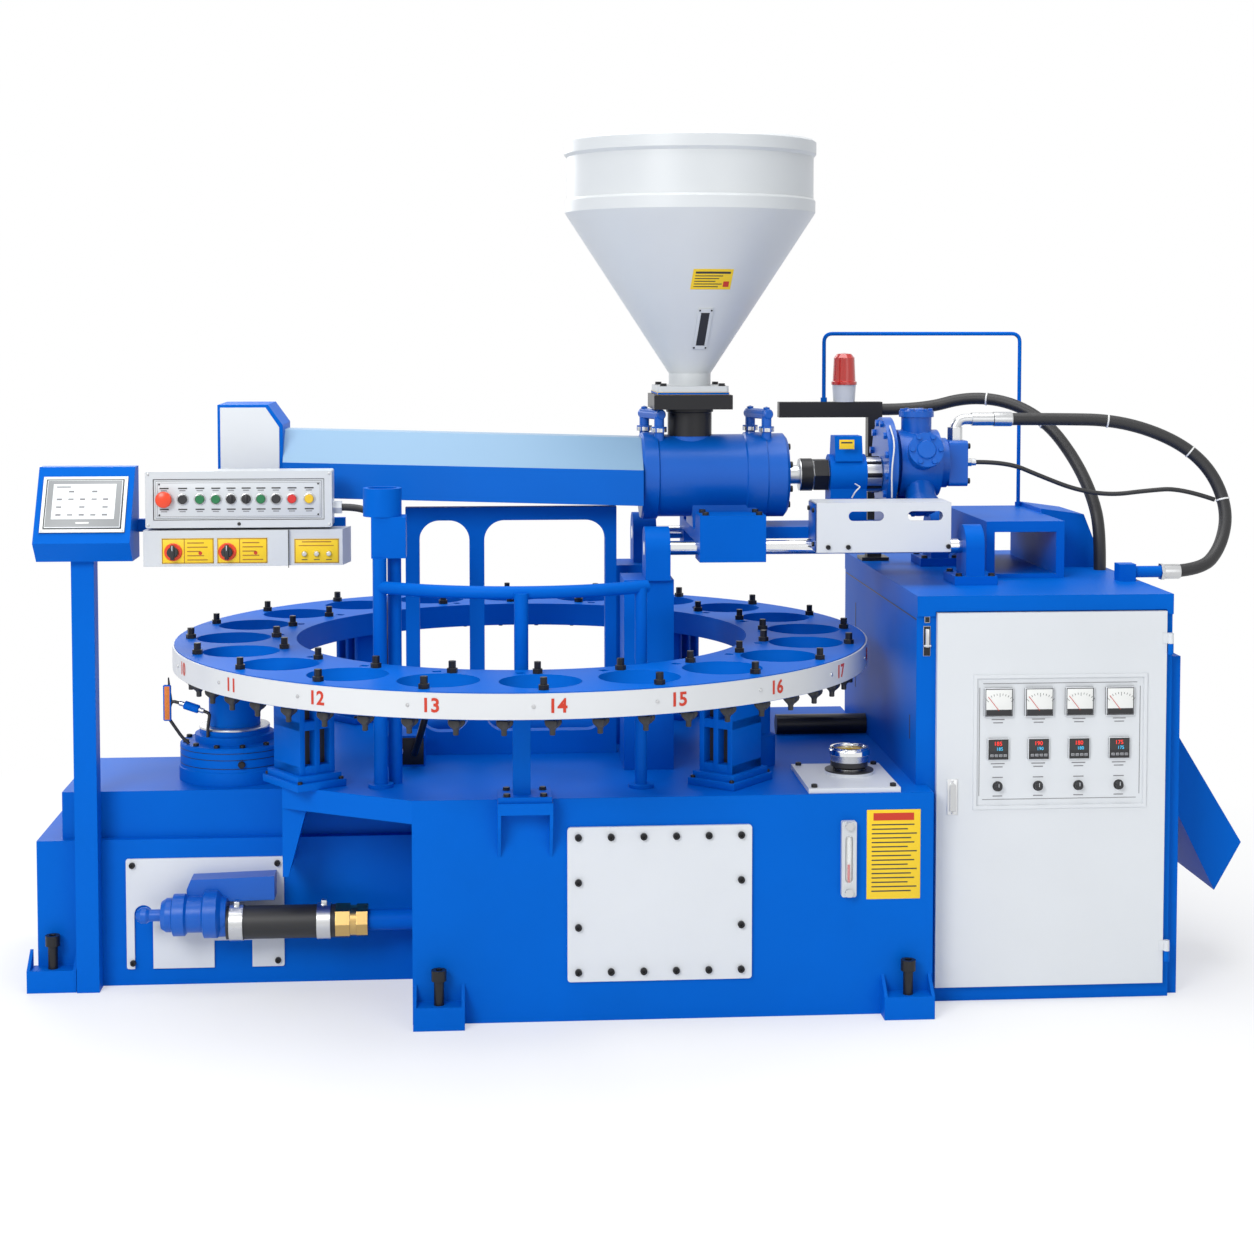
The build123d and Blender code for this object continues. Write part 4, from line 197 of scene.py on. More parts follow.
class Shape:
    """A mesh under construction, in millimetres. Each call adds one form in one material."""

    def __init__(self, *materials):
        self.mesh = bmesh.new()
        self.materials = materials

    def paint(self, faces, mat):
        """Gives faces one of the materials, by its place in the list."""
        for face in faces:
            face.material_index = mat

    def skin(self, rings, mat):
        """Joins rings of equal count by quads, with a cap at each end."""
        count = len(rings[0])
        faces = [self.mesh.faces.new(rings[0][::-1]), self.mesh.faces.new(rings[-1])]
        for low, high in zip(rings, rings[1:]):
            faces += [self.mesh.faces.new((low[i], low[(i + 1) % count], high[(i + 1) % count], high[i]))
                      for i in range(count)]
        self.paint(faces, mat)
        return self

    def box(self, low, high, mat=0, soft=0.0, place=None):
        """Box between two corners, with its edges rounded by soft."""
        low, high = Vector(low), Vector(high)
        size = high - low
        base = Matrix.Translation((low + high) / 2) @ Matrix.Diagonal((*size, 1))
        made = bmesh.ops.create_cube(self.mesh, size=1, matrix=(place or Matrix()) @ base)["verts"]
        faces = {face for vert in made for face in vert.link_faces}
        self.paint(faces, mat)
        if soft:
            edges = {edge for vert in made for edge in vert.link_edges}
            bmesh.ops.bevel(self.mesh, geom=list(edges), offset=soft, segments=2, affect="EDGES",
                            profile=0.5, clamp_overlap=True)
        return self

    def prism(self, corners, origin, axis, depth, mat=0, across=None):
        """Polygon extruded along axis."""
        place = placed(origin, axis, across)
        low = [self.mesh.verts.new(place @ Vector((x, y, 0))) for x, y in corners]
        high = [self.mesh.verts.new(place @ Vector((x, y, depth))) for x, y in corners]
        return self.skin([low, high], mat)

    def lathe(self, profile, origin, axis=UP, mat=0, segments=28, across=None):
        """Profile of (radius, height) turned about an axis."""
        place = placed(origin, axis, across)
        rings = []
        for radius, height in profile:
            steps = segments if radius > 0 else 1
            rings.append([
                self.mesh.verts.new(place @ Vector((
                    radius * cos(2 * pi * step / segments), radius * sin(2 * pi * step / segments), height)))
                for step in range(steps)
            ])
        for low, high in zip(rings, rings[1:]):
            for i in range(segments):
                j = (i + 1) % segments
                ring = (low[i % len(low)], low[j % len(low)], high[j % len(high)], high[i % len(high)])
                corners = list(dict.fromkeys(ring))
                if len(corners) > 2:
                    self.mesh.faces.new(corners).material_index = mat
        return self

    def rod(self, start, end, radius, mat=0, segments=20, soft=0.0):
        """Round bar between two points."""
        start, end = Vector(start), Vector(end)
        length = (end - start).length
        return self.lathe([(0, 0), (radius - soft, 0), (radius, soft), (radius, length - soft),
                           (radius - soft, length), (0, length)], start, end - start, mat, segments)

    def pipe(self, points, radius, mat=0, segments=12, bend=20.0, steps=6):
        """Round tube along a line of points, its corners rounded."""
        line = [Vector(points[0])]
        for before, corner, after in zip(points, points[1:], points[2:]):
            corner = Vector(corner)
            back, ahead = Vector(before) - corner, Vector(after) - corner
            cut = min(bend, back.length * 0.45, ahead.length * 0.45)
            start, end = corner + back.normalized() * cut, corner + ahead.normalized() * cut
            for k in range(steps + 1):
                t = k / steps
                line.append(start * (1 - t) ** 2 + corner * 2 * t * (1 - t) + end * t * t)
        line.append(Vector(points[-1]))
        side = (line[1] - line[0]).orthogonal()
        turns = [2 * pi * k / segments for k in range(segments)]
        rings = []
        for i, spot in enumerate(line):
            along = (line[min(i + 1, len(line) - 1)] - line[max(i - 1, 0)]).normalized()
            side = (side - along * side.dot(along)).normalized()
            up = along.cross(side)
            rings.append([self.mesh.verts.new(spot + (side * cos(turn) + up * sin(turn)) * radius)
                          for turn in turns])
        return self.skin(rings, mat)

    def star(self, profile, origin, mat=0, segments=30):
        """Five-lobed profile of (radius, lobe, height) turned about an upright axis."""
        rings = []
        for radius, lobe, height in profile:
            rings.append([])
            for k in range(segments):
                turn = 2 * pi * k / segments
                reach = radius + lobe * cos(5 * turn)
                rings[-1].append(self.mesh.verts.new(
                    Vector(origin) + Vector((reach * cos(turn), reach * sin(turn), height))))
        return self.skin(rings, mat)

    def hexagon(self, origin, axis, across_flats, height, mat=0, turn=0.0):
        """Hexagon head or nut."""
        reach = across_flats / 2 / cos(pi / 6)
        corners = [(reach * cos(turn + k * pi / 3), reach * sin(turn + k * pi / 3)) for k in range(6)]
        return self.prism(corners, origin, axis, height, mat)

    def cap_screw(self, origin, axis, size=10.0, mat=0):
        """Socket-head cap screw seen from outside."""
        head = size * 0.85
        return self.lathe([(0, 0), (head, 0), (head, size * 0.75), (head * 0.9, size * 0.85),
                           (head * 0.5, size * 0.85), (head * 0.5, size * 0.3), (0, size * 0.3)],
                          origin, axis, mat, 18)

    def bolt(self, origin, axis, size=10.0, mat=0):
        """Hexagon bolt head on its washer."""
        washer = [(0, 0), (size * 1.05, 0), (size * 1.05, size * 0.18), (0, size * 0.18)]
        self.lathe(washer, origin, axis, mat, 20)
        lift = Vector(origin) + Vector(axis).normalized() * size * 0.18
        return self.hexagon(lift, axis, size * 1.6, size * 0.62, mat)

    def slab(self, low, high, thickness, spot, mat=0, steps=10):
        """Thin closed slab between two flat corners, taken to its surface by spot."""
        rows = []
        for step in range(steps + 1):
            x = low[0] + (high[0] - low[0]) * step / steps
            corners = ((x, low[1], 0), (x, high[1], 0), (x, high[1], thickness), (x, low[1], thickness))
            rows.append([self.mesh.verts.new(spot(Vector(corner))) for corner in corners])
        return self.skin(rows, mat)

    def text(self, words, height, place, depth=0.6, mat=0, bold=0.0):
        """Digits as a thin raised print. place takes a flat point to its spot."""
        curve = bpy.data.curves.new("digits", "FONT")
        curve.body = words
        curve.align_x = "CENTER"
        curve.align_y = "CENTER"
        curve.size = height * DIGIT_SIZE
        curve.extrude = depth / 2
        curve.offset = bold
        curve.resolution_u = 3
        holder = bpy.data.objects.new("digits", curve)
        flat = bpy.data.meshes.new_from_object(holder)
        verts = [self.mesh.verts.new(place(vert.co)) for vert in flat.vertices]
        for polygon in flat.polygons:
            try:
                self.mesh.faces.new([verts[i] for i in polygon.vertices]).material_index = mat
            except ValueError:
                pass
        bpy.data.objects.remove(holder)
        bpy.data.curves.remove(curve)
        bpy.data.meshes.remove(flat)
        return self

    def done(self, name, body, smooth=35.0):
        """Makes the object, in metres, with its materials, riding on a body."""
        self.mesh.transform(Matrix.Scale(MM, 4))
        bmesh.ops.recalc_face_normals(self.mesh, faces=self.mesh.faces)
        data = bpy.data.meshes.new(name)
        self.mesh.to_mesh(data)
        self.mesh.free()
        for material in self.materials:
            data.materials.append(material)
        piece = bpy.data.objects.new(name, data)
        bpy.context.scene.collection.objects.link(piece)
        data.shade_smooth()
        data.set_sharp_from_angle(angle=radians(smooth))
        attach(piece, body)
        return piece


def plane_front(x, y, z):
    """Takes a flat drawing to a plane that faces the operator: x right, y up, depth outwards."""
    def spot(point):
        return Vector((x + point[0], y - point[2], z + point[1]))
    return spot


# Camera at the photograph's station. Its lens and shift are solved in the photograph's pixels
PHOTO_SIZE = 1254
FOCAL_LENGTH = 2120.14
AXIS_ROW = 438.9
SENSOR = 36
camera = bpy.data.objects.new("camera", bpy.data.cameras.new("camera"))
bpy.context.scene.collection.objects.link(camera)
camera.location = (-0.1278, -5.5688, 1.6752)
camera.rotation_euler = (pi / 2 - 0.0555, 0, -0.0725)
camera.data.sensor_width = SENSOR
camera.data.lens = FOCAL_LENGTH / PHOTO_SIZE * SENSOR
camera.data.shift_y = (AXIS_ROW - PHOTO_SIZE / 2) / PHOTO_SIZE
camera.data.clip_end = 100
bpy.context.scene.camera = camera
bpy.context.scene.view_settings.view_transform = "Standard"


# Floor, world and lamps
def seen_rays(tree):
    """Socket that is 1 for the rays that show the backdrop, to the eye or in metal and glass."""
    ray = tree.nodes.new("ShaderNodeLightPath")
    total = ray.outputs["Is Camera Ray"]
    for kind in ("Is Glossy Ray", "Is Transmission Ray"):
        both = tree.nodes.new("ShaderNodeMath")
        both.operation = "MAXIMUM"
        tree.links.new(total, both.inputs[0])
        tree.links.new(ray.outputs[kind], both.inputs[1])
        total = both.outputs["Value"]
    return total


def stage_material(name, color):
    """Matt pale floor that fades to the white of the backdrop away from the machine."""
    material = bpy.data.materials.new(name)
    material.use_nodes = True
    links = material.node_tree.links
    make = material.node_tree.nodes.new
    shader = material.node_tree.nodes["Principled BSDF"]
    shader.inputs["Base Color"].default_value = (*color, 1)
    shader.inputs["Roughness"].default_value = 0.9
    shader.inputs["Specular IOR Level"].default_value = 0.1
    place = make("ShaderNodeNewGeometry")
    reach = make("ShaderNodeVectorMath")
    reach.operation = "LENGTH"
    links.new(place.outputs["Position"], reach.inputs[0])
    fade = make("ShaderNodeMapRange")
    fade.inputs["From Min"].default_value = 1.3
    fade.inputs["From Max"].default_value = 3.0
    fade.inputs["To Min"].default_value = 0.45
    links.new(reach.outputs["Value"], fade.inputs["Value"])
    seen = make("ShaderNodeMath")
    seen.operation = "MULTIPLY"
    links.new(fade.outputs["Result"], seen.inputs[0])
    links.new(seen_rays(material.node_tree), seen.inputs[1])
    backdrop = make("ShaderNodeEmission")
    mix = make("ShaderNodeMixShader")
    links.new(seen.outputs["Value"], mix.inputs["Fac"])
    links.new(shader.outputs["BSDF"], mix.inputs[1])
    links.new(backdrop.outputs["Emission"], mix.inputs[2])
    links.new(mix.outputs["Shader"], material.node_tree.nodes["Material Output"].inputs["Surface"])
    return material


floor_mesh = bmesh.new()
bmesh.ops.create_grid(floor_mesh, x_segments=1, y_segments=1, size=30)
floor_data = bpy.data.meshes.new("floor")
floor_mesh.to_mesh(floor_data)
floor_mesh.free()
floor_data.materials.append(stage_material("floor_pale", (0.93, 0.93, 0.93)))
floor = bpy.data.objects.new("floor", floor_data)
bpy.context.scene.collection.objects.link(floor)

world = bpy.data.worlds.new("studio")
bpy.context.scene.world = world
world.use_nodes = True
tree = world.node_tree
back = tree.nodes["Background"]
back.inputs["Color"].default_value = (0.86, 0.90, 0.95, 1)
back.inputs["Strength"].default_value = 0.50
white = tree.nodes.new("ShaderNodeBackground")
white.inputs["Color"].default_value = (1, 1, 1, 1)
mix = tree.nodes.new("ShaderNodeMixShader")
tree.links.new(seen_rays(tree), mix.inputs["Fac"])
tree.links.new(back.outputs["Background"], mix.inputs[1])
tree.links.new(white.outputs["Background"], mix.inputs[2])
tree.links.new(mix.outputs["Shader"], tree.nodes["World Output"].inputs["Surface"])


def lamp(name, place, target, power, size):
    """Square area lamp aimed at one point, in metres."""
    data = bpy.data.lights.new(name, "AREA")
    data.energy = power
    data.size = size
    light = bpy.data.objects.new(name, data)
    bpy.context.scene.collection.objects.link(light)
    light.location = place
    light.rotation_euler = (Vector(target) - Vector(place)).to_track_quat("-Z", "Y").to_euler()


lamp("key", (-3.0, -5.6, 4.2), (0.0, 0, 0.8), 240, 2.6)
lamp("fill", (3.2, -5.4, 2.4), (0.5, 0, 0.9), 22, 3.0)
lamp("top", (0.2, -0.2, 5.6), (0.1, -0.2, 0.5), 190, 4.0)
lamp("rim", (-2.5, 4.5, 3.4), (0, 0, 1.0), 80, 2.5)

# Finishes of the carried-over nodes
finishes = {
    BLUE: "front_base left_base cabinet_body injection_columns rear_pedestals rear_frame support_stands "
          "panel_post guard_table side_hood carriage nozzle_shield hand_rail turntable_ring clamp_cylinder "
          "index_cylinder deck_pipes panel_housing clamp_ram",
    CAST: "feed_housing hydraulic_motor hydraulic_pump",
    HOOD_BLUE_LIT_TOP: "barrel_hood",
    WHITE: "cabinet_door front_cover pump_cover tank_cover cover_box beacon touch_screen",
    SILVER: "control_box switch_box level_gauge",
    GREY: "hopper",
    BAND_WHITE: "number_band",
    BRUSHED: "instrument_panel mounting_plate",
    CHROME: "guide_rods index_pin",
    STEEL: "screw_shaft barrel lock_handle filler_cap motor_fittings",
    BRASS: "pipe_unions",
    OXIDE: "feed_gate levelling_bolts seat_pins beacon_mast",
    BLACK: "star_knobs rotary_switch_left rotary_switch_right push_buttons",
    RED: "emergency_stop",
    LENS: "beacon_lens",
    RUBBER: "suction_sleeve pressure_hose return_hose pilot_cable control_cable",
}
for material, names in finishes.items():
    for name in names.split():
        node = nodes[name]
        if not node.material_slots:
            node.data.materials.append(material)
        for slot in node.material_slots:
            slot.link = "OBJECT"
            slot.material = material

# Hoses and cables, on the routes of the part's source
HOSE_RADIUS = 16.5
routes = {
    "pressure_hose": (HOSE_RADIUS, 1.029, "medium", [
        (1250, UNIT_Y, ELBOW_Z), (1420, UNIT_Y, ELBOW_Z), (1585, -44, 1412), (1730, -70, 1362),
        (1818, -98, 1286), (1856, -125, 1178), (1824, -168, 1084), (1752, PORT_Y, PORT_Z),
        (1650, PORT_Y, PORT_Z)]),
    "return_hose": (HOSE_RADIUS, 0.931, "medium", [
        (1012, 300, 1428), (1130, 300, 1428), (1250, 272, 1464), (1362, 230, 1452), (1452, 174, 1396),
        (1512, 112, 1300), (1546, 52, 1200), (1556, 14, 1110), (1556, 14, 1006)]),
    "pilot_cable": (6.0, 0.649, "medium", [
        (1200, UNIT_Y - 18, 1302), (1285, UNIT_Y - 18, 1302), (1375, -48, 1264), (1467, -54, 1228),
        (1560, -64, 1214), (1650, -76, 1226), (1740, -92, 1234), (1826, -110, 1204)]),
    "control_cable": (9.0, 0.759, "medium", [
        (-455, -262, 1212), (-393, -262, 1212), (-346, -268, 1164), (-326, -285, 1090), (-334, -310, 975),
        (-345, -334, 840), (-352, -346, 690), (-352, -346, 540)]),
}
for name, (radius, length, stiffness, points) in routes.items():
    curve = bpy.data.curves.new(name + "_run", "CURVE")
    curve.dimensions = "3D"
    curve.bevel_depth = radius * MM
    curve.bevel_resolution = 6
    curve.resolution_u = 10
    curve.use_fill_caps = True
    spline = curve.splines.new("NURBS")
    spline.points.add(len(points) - 1)
    for point, spot in zip(spline.points, points):
        point.co = (*(Vector(spot) * MM), 1)
    spline.order_u = 3
    spline.use_endpoint_u = True
    curve.materials.append(RUBBER)
    cord = bpy.data.objects.new(name + "_run", curve)
    bpy.context.scene.collection.objects.link(cord)
    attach(cord, "machine_frame")
    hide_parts(name)

# Station numbers round the rim, with one small screw beside each
STATIONS = 20
FRONT_STATION = 14
FRONT_BEARING = -90 + 3.6


def on_band(bearing):
    """Takes a flat drawing to the number band, at a bearing."""
    def spot(point):
        turn = bearing + point[0] / BAND
        reach = BAND + 0.35 + point[2]
        return Vector((reach * cos(turn), reach * sin(turn), BAND_Z + point[1]))
    return spot


numbers = Shape(RED_INK, STEEL)
for station in range(1, STATIONS + 1):
    bearing = radians(FRONT_BEARING + 360 / STATIONS * (station - FRONT_STATION))
    numbers.text(str(station), 31, on_band(bearing), 0.5, 0, 1.1)
    turn = bearing - radians(3.4)
    out = (cos(turn), sin(turn), 0)
    spot = (BAND * out[0], BAND * out[1], BAND_Z)
    numbers.lathe([(0, 0), (4.4, 0), (3.8, 2.0), (0, 2.6)], spot, out, 1, 14)
numbers.done("station_numbers", "turntable")

# Star knobs under the rim, as (radius, lobe, height) from the top of the knob
KNOBS = 50
KNOB_CIRCLE = 864
KNOB_TOP = 786
KNOB_PROFILE = [(8, 0, 44), (8, 0, 0.5), (14, 0.5, 0), (17.5, 2.5, -2), (18.5, 3, -7), (17, 2.6, -13),
                (12, 1.4, -19), (8.5, 0, -22), (6.5, 0, -26), (6.5, 0, -36), (5.5, 0, -37)]
knobs = Shape(BLACK)
for k in range(KNOBS):
    turn = radians(3.1 - 90 + 360 / KNOBS * k)
    knobs.star(KNOB_PROFILE, (KNOB_CIRCLE * cos(turn), KNOB_CIRCLE * sin(turn), KNOB_TOP))
knobs.done("knob_row", "turntable")
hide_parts("star_knobs")

# Support stands: cast frames with four windows, on stepped and bolted feet
STAND_CIRCLE = 655
STAND_TOP = 273.7
stands = Shape(BLUE, BLACK, OXIDE)
for bearing in (-146.4, -40, 48, 132):
    turn = radians(bearing)
    foot = Matrix.Translation((STAND_CIRCLE * cos(turn), STAND_CIRCLE * sin(turn), DECK))
    place = foot @ Matrix.Rotation(turn, 4, "Z")
    stands.box((-68, -88, 0), (68, 88, 18), 0, 1.5, place)
    stands.box((-60, -78, 18), (60, 78, 34), 0, 1.5, place)
    for x in (-41, 0, 41):
        stands.box((x - 7, -66, 34), (x + 7, 66, STAND_TOP), 0, 1.0, place)
    for z in (34, 143, 252):
        stands.box((-48, -65.4, z), (48, 65.4, z + 21.7), 0, 0.8, place)
    stands.box((-40, -40, 40), (40, 40, 262), 1, 0, place)
    stands.box((-39, -51, STAND_TOP), (-9, 51, STAND_TOP + 16), 0, 1.0, place)
    for x in (-56.84, 56.84):
        for y in (-81, 81):
            stands.cap_screw(place @ Vector((x, y, 18)), UP, 7, 2)
stands.done("window_stands", "machine_frame")
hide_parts("support_stands")

# Front cover screws
COVER_FRONT = BASE_FRONT - 8
screws = Shape(OXIDE)
for step in range(6):
    for z in (121, 447):
        screws.cap_screw((118 + step * 78.2, COVER_FRONT, z), FRONT, 10)
for x in (118, 509):
    for z in (229.7, 338.3):
        screws.cap_screw((x, COVER_FRONT, z), FRONT, 10)
screws.done("cover_screws", "machine_frame")

# Notice sheet: plain yellow film with lines of generic bars
notice = Shape(LABEL, INK, RED_INK)
notice.box((814, BASE_FRONT - 1.2, 282), (945, BASE_FRONT, 500), 0, 0.4)
notice.box((830, BASE_FRONT - 1.6, 474), (929, BASE_FRONT - 1, 492), 2)
for row in range(16):
    width = (104, 88, 110, 96)[row % 4]
    z = 462 - row * 10.8
    notice.box((826, BASE_FRONT - 1.5, z), (826 + width, BASE_FRONT - 1, z + 3), 1)
notice.done("notice_sheet", "machine_frame")

# Level gauge: scale, glass, red column and two end nuts
GAUGE_X = 769
gauge = Shape(CLEAR, RED, STEEL, PAPER)
gauge.box((GAUGE_X - 7, -586, 316), (GAUGE_X + 7, -583.5, 452), 3, 0.4)
gauge.rod((GAUGE_X, -587, 320), (GAUGE_X, -587, 448), 4.5, 0)
gauge.rod((GAUGE_X, -586, 322), (GAUGE_X, -586, 370), 3.0, 1)
for z in (303, 465):
    gauge.hexagon((GAUGE_X, -592, z), FRONT, 19, 8, 2)
gauge.done("gauge_glass", "machine_frame")

# Tank cover screws, and the rings of the filler and of its cap
FILLER = (802, -398, 560)
tank = Shape(OXIDE, BLACK)
for x in (690, 882):
    for y in (-552, -298):
        tank.cap_screw((x, y, 552), UP, 9)
tank.lathe([(40, 0), (60.5, 0), (60.5, 3), (40, 3)], FILLER, UP, 1, 36)
tank.done("tank_trim", "machine_frame")
cap = Shape(CHROME, BLACK, YELLOW)
cap.lathe([(36.6, 6), (46.5, 12), (46.5, 24), (44, 26), (37, 26)], FILLER, UP, 1, 36)
cap.lathe([(48.6, 40), (50, 41), (50, 52), (47, 55), (47.5, 58.6), (40, 59.4), (37, 55)], FILLER, UP, 0, 40)
cap.lathe([(0, 51), (30, 51), (33, 53), (30, 55), (0, 56)], FILLER, UP, 2, 36)
cap.done("cap_rings", "filler_cap")

# Nozzle shield: white front sheet between blue edges
shield = Shape(WHITE)
shield.prism([(-768, 1186), (-768, 1456), (-654, 1456), (-620, 1406), (-620, 1186)],
             (0, UNIT_Y - 110, 0), FRONT, 1.5, 0, RIGHT)
shield.done("shield_sheet", "injection_unit")

# Touch panel: glass, bezel and a plain page of fields
SCREEN_OUT = (0, -cos(radians(30)), sin(radians(30)))
TILT = placed((-1082, -293, 1224.07), SCREEN_OUT, RIGHT)
touch = Shape(SCREEN, BEZEL, GREY_INK, PAPER, BLACK, STEEL)
touch.box((-103, -76, -1.0), (103, 76, 2.0), 4, 0, TILT)
touch.box((-102.5, -75.5, 2.0), (102.5, 75.5, 4.6), 3, 1.0, TILT)
touch.box((-95, -68, 4.0), (95, 68, 5.2), 4, 0.4, TILT)
touch.box((-91.5, -64.5, 4.6), (91.5, 64.5, 8.0), 1, 1.6, TILT)
touch.box((-76, -42, 8.0), (76, 53, 8.5), 0, 0.2, TILT)
for row in range(4):
    for column in range(5):
        if (row * 3 + column * 2) % 4:
            x = -66 + column * 28
            y = 30 - row * 21
            touch.box((x, y, 8.4), (x + 13, y + 5, 8.8), 2 if (row + column) % 2 else 1, 0, TILT)
touch.box((-68, 43, 8.4), (-34, 47, 8.8), 1, 0, TILT)
touch.box((-16, -54, 8.0), (16, -50, 8.3), 3, 0, TILT)
for x in (-98, 98):
    for y in (-71, 71):
        touch.lathe([(0, 0), (2.6, 0), (2.2, 1.2), (0, 1.4)], TILT @ Vector((x, y, 4.6)), SCREEN_OUT, 5, 12)
touch.done("screen_page", "machine_frame")

# Push buttons on the control box, two of them with a grip
DEVICE_Z = 1237
STOP_X = -887
GRIP_XS = (-724, -687)
DEVICE_XS = (-842, -800, -761, -724, -687, -651, -614, -575, -533)
CAPS = "black green green black black green black red yellow".split()
SHADES = {"black": 0, "green": 1, "red": 2, "yellow": 3}
BUTTON_RING = [(0, -30), (10.8, -30), (10.8, 0), (15, 0), (15, 3), (14, 4.6), (12, 5), (11.6, 3.6), (0, 3.6)]
BUTTON_CAP = [(0, 3.6), (10.8, 3.6), (10.8, 9.5), (9.8, 10.8), (0, 10.4)]
GRIP_CAP = [(0, 3.6), (11.2, 3.6), (11.2, 8), (10, 9), (0, 9)]
face_y = PANEL_FRONT + 3
buttons = Shape(BLACK, GREEN, RED, YELLOW, STEEL)
for x, shade in zip(DEVICE_XS, CAPS):
    place = (x, face_y, DEVICE_Z)
    buttons.lathe(BUTTON_RING, place, FRONT, 4, 32)
    if x in GRIP_XS:
        buttons.lathe(GRIP_CAP, place, FRONT, 0, 28)
        buttons.box((x - 3, face_y - 14, DEVICE_Z - 10), (x + 3, face_y - 8, DEVICE_Z + 10), 0, 1.2)
    else:
        buttons.lathe(BUTTON_CAP, place, FRONT, SHADES[shade], 28)
buttons.done("button_row", "machine_frame")
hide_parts("push_buttons")

stop = Shape(ORANGE_RED)
stop.lathe([(0, 0), (9, 0), (9, 8), (16, 9), (20, 12), (20.4, 16), (18.5, 20), (13, 22.5), (0, 23.4)],
           (STOP_X, face_y, DEVICE_Z), FRONT, 0, 40)
stop.done("stop_head", "emergency_stop")
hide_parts("emergency_stop")

# Box faces: small print bars over and under the devices, screws, yellow plates, and black bars of painted
# shade round the recess and beside the small box
marks = Shape(GREY_INK, STEEL, LABEL, INK, RED_INK, BLACK, BROWN_INK, SILVER)


def outline(x0, x1, z0, z1, y, width, mat):
    """Four thin bars round a rectangle on a face."""
    marks.box((x0, y - 0.3, z1 - width), (x1, y + 0.3, z1), mat)
    marks.box((x0, y - 0.3, z0), (x1, y + 0.3, z0 + width), mat)
    marks.box((x0, y - 0.3, z0), (x0 + width, y + 0.3, z1), mat)
    marks.box((x1 - width, y - 0.3, z0), (x1, y + 0.3, z1), mat)


# Black bars round the recess of the inner panel: painted shade along the recess's border
outline(-914, -496, 1185, 1287, face_y, 1.6, 5)
marks.box((-908, face_y - 2.0, 1190), (-502, face_y, 1282), 7, 1.2)
outline(-904, -506, 1194, 1278, face_y - 2.0, 0.8, 0)
for x in (-899, -511):
    for z in (1198, 1274):
        marks.lathe([(0, 0), (2.4, 0), (2, 1), (0, 1.2)], (x, face_y - 2, z), FRONT, 5, 12)
marks.lathe([(0, 0), (4.4, 0), (4, 2), (0, 2.4)], (-705, PANEL_FRONT, 1175.5), FRONT, 5, 16)
for x in (STOP_X, *DEVICE_XS):
    for z in (1264, 1212):
        marks.box((x - 11, face_y - 2.4, z - 1.6), (x + 11, face_y - 2, z + 1.6), 3)
        marks.box((x - 8, face_y - 2.4, z - 6.6), (x + 7, face_y - 2, z - 4.2), 0)
for x in (-926, -484):
    for z in (1173, 1299):
        marks.lathe([(0, 0), (3.6, 0), (3, 1.8), (0, 2.2)], (x, PANEL_FRONT, z), FRONT, 1, 14)
for left, right in ((-894, -767), (-759, -636)):
    marks.box((left, -303, 1078), (right, -302, 1141), 2, 0.3)
    outline(left + 1, right - 1, 1079, 1140, -303, 1.8, 6)
    marks.box((left + 54, -303.3, 1079), (left + 56, -302.9, 1140), 6)
    for row in range(5):
        z = 1086 + row * 10.5
        marks.box((left + 62, -303.4, z), (left + 112 - 9 * (row % 3), -302.9, z + 2.6), 6)
    marks.lathe([(0, 0), (4.6, 0), (4.6, 0.4), (0, 0.4)], (left + 94, -303, 1104), FRONT, 4, 16)
marks.box((-571, -295.2, 1076), (-461, -294, 1137), 2, 0.3)
outline(-570, -462, 1077, 1136, -295.2, 1.8, 6)
marks.box((-552, -295.6, 1128), (-480, -295.1, 1130.6), 6)
marks.box((-560, -295.6, 1119), (-474, -295.1, 1121), 6)
# Thin black bar at the left edge of the small white box: a painted shadow line
marks.box((-585.5, -302.3, 1066), (-583.5, -301.7, 1160), 5)
for x in (-546, -516, -486):
    marks.lathe([(0, 0), (7, 0), (7, 6), (5.6, 10), (0, 11)], (x, -294.6, 1100), FRONT, 1, 24)
    marks.box((x - 7, -295.5, 1084), (x + 7, -295, 1086), 3)
marks.done("box_marks", "machine_frame")

# Rotary switches: an orange-red collar, and a black handle with a white line
for side, x in (("left", -866), ("right", -734)):
    place = (x, -302.3, 1107)
    knob = Shape(BLACK, ORANGE_RED, WHITE)
    knob.lathe([(0, 0), (22, 0), (22, 3), (20.5, 4.6), (15, 4.6), (14.5, 8), (0, 8)], place, FRONT, 1, 36)
    knob.lathe([(0, 7), (14, 7), (14, 16), (12.6, 18), (0, 18)], place, FRONT, 0, 28)
    knob.box((x - 5, -324, 1089), (x + 5, -312, 1125), 0, 1.6)
    knob.box((x - 0.9, -324.5, 1112), (x + 0.9, -323.8, 1124), 2)
    knob.done(f"selector_{side}", f"rotary_switch_{side}")
    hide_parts(f"rotary_switch_{side}")

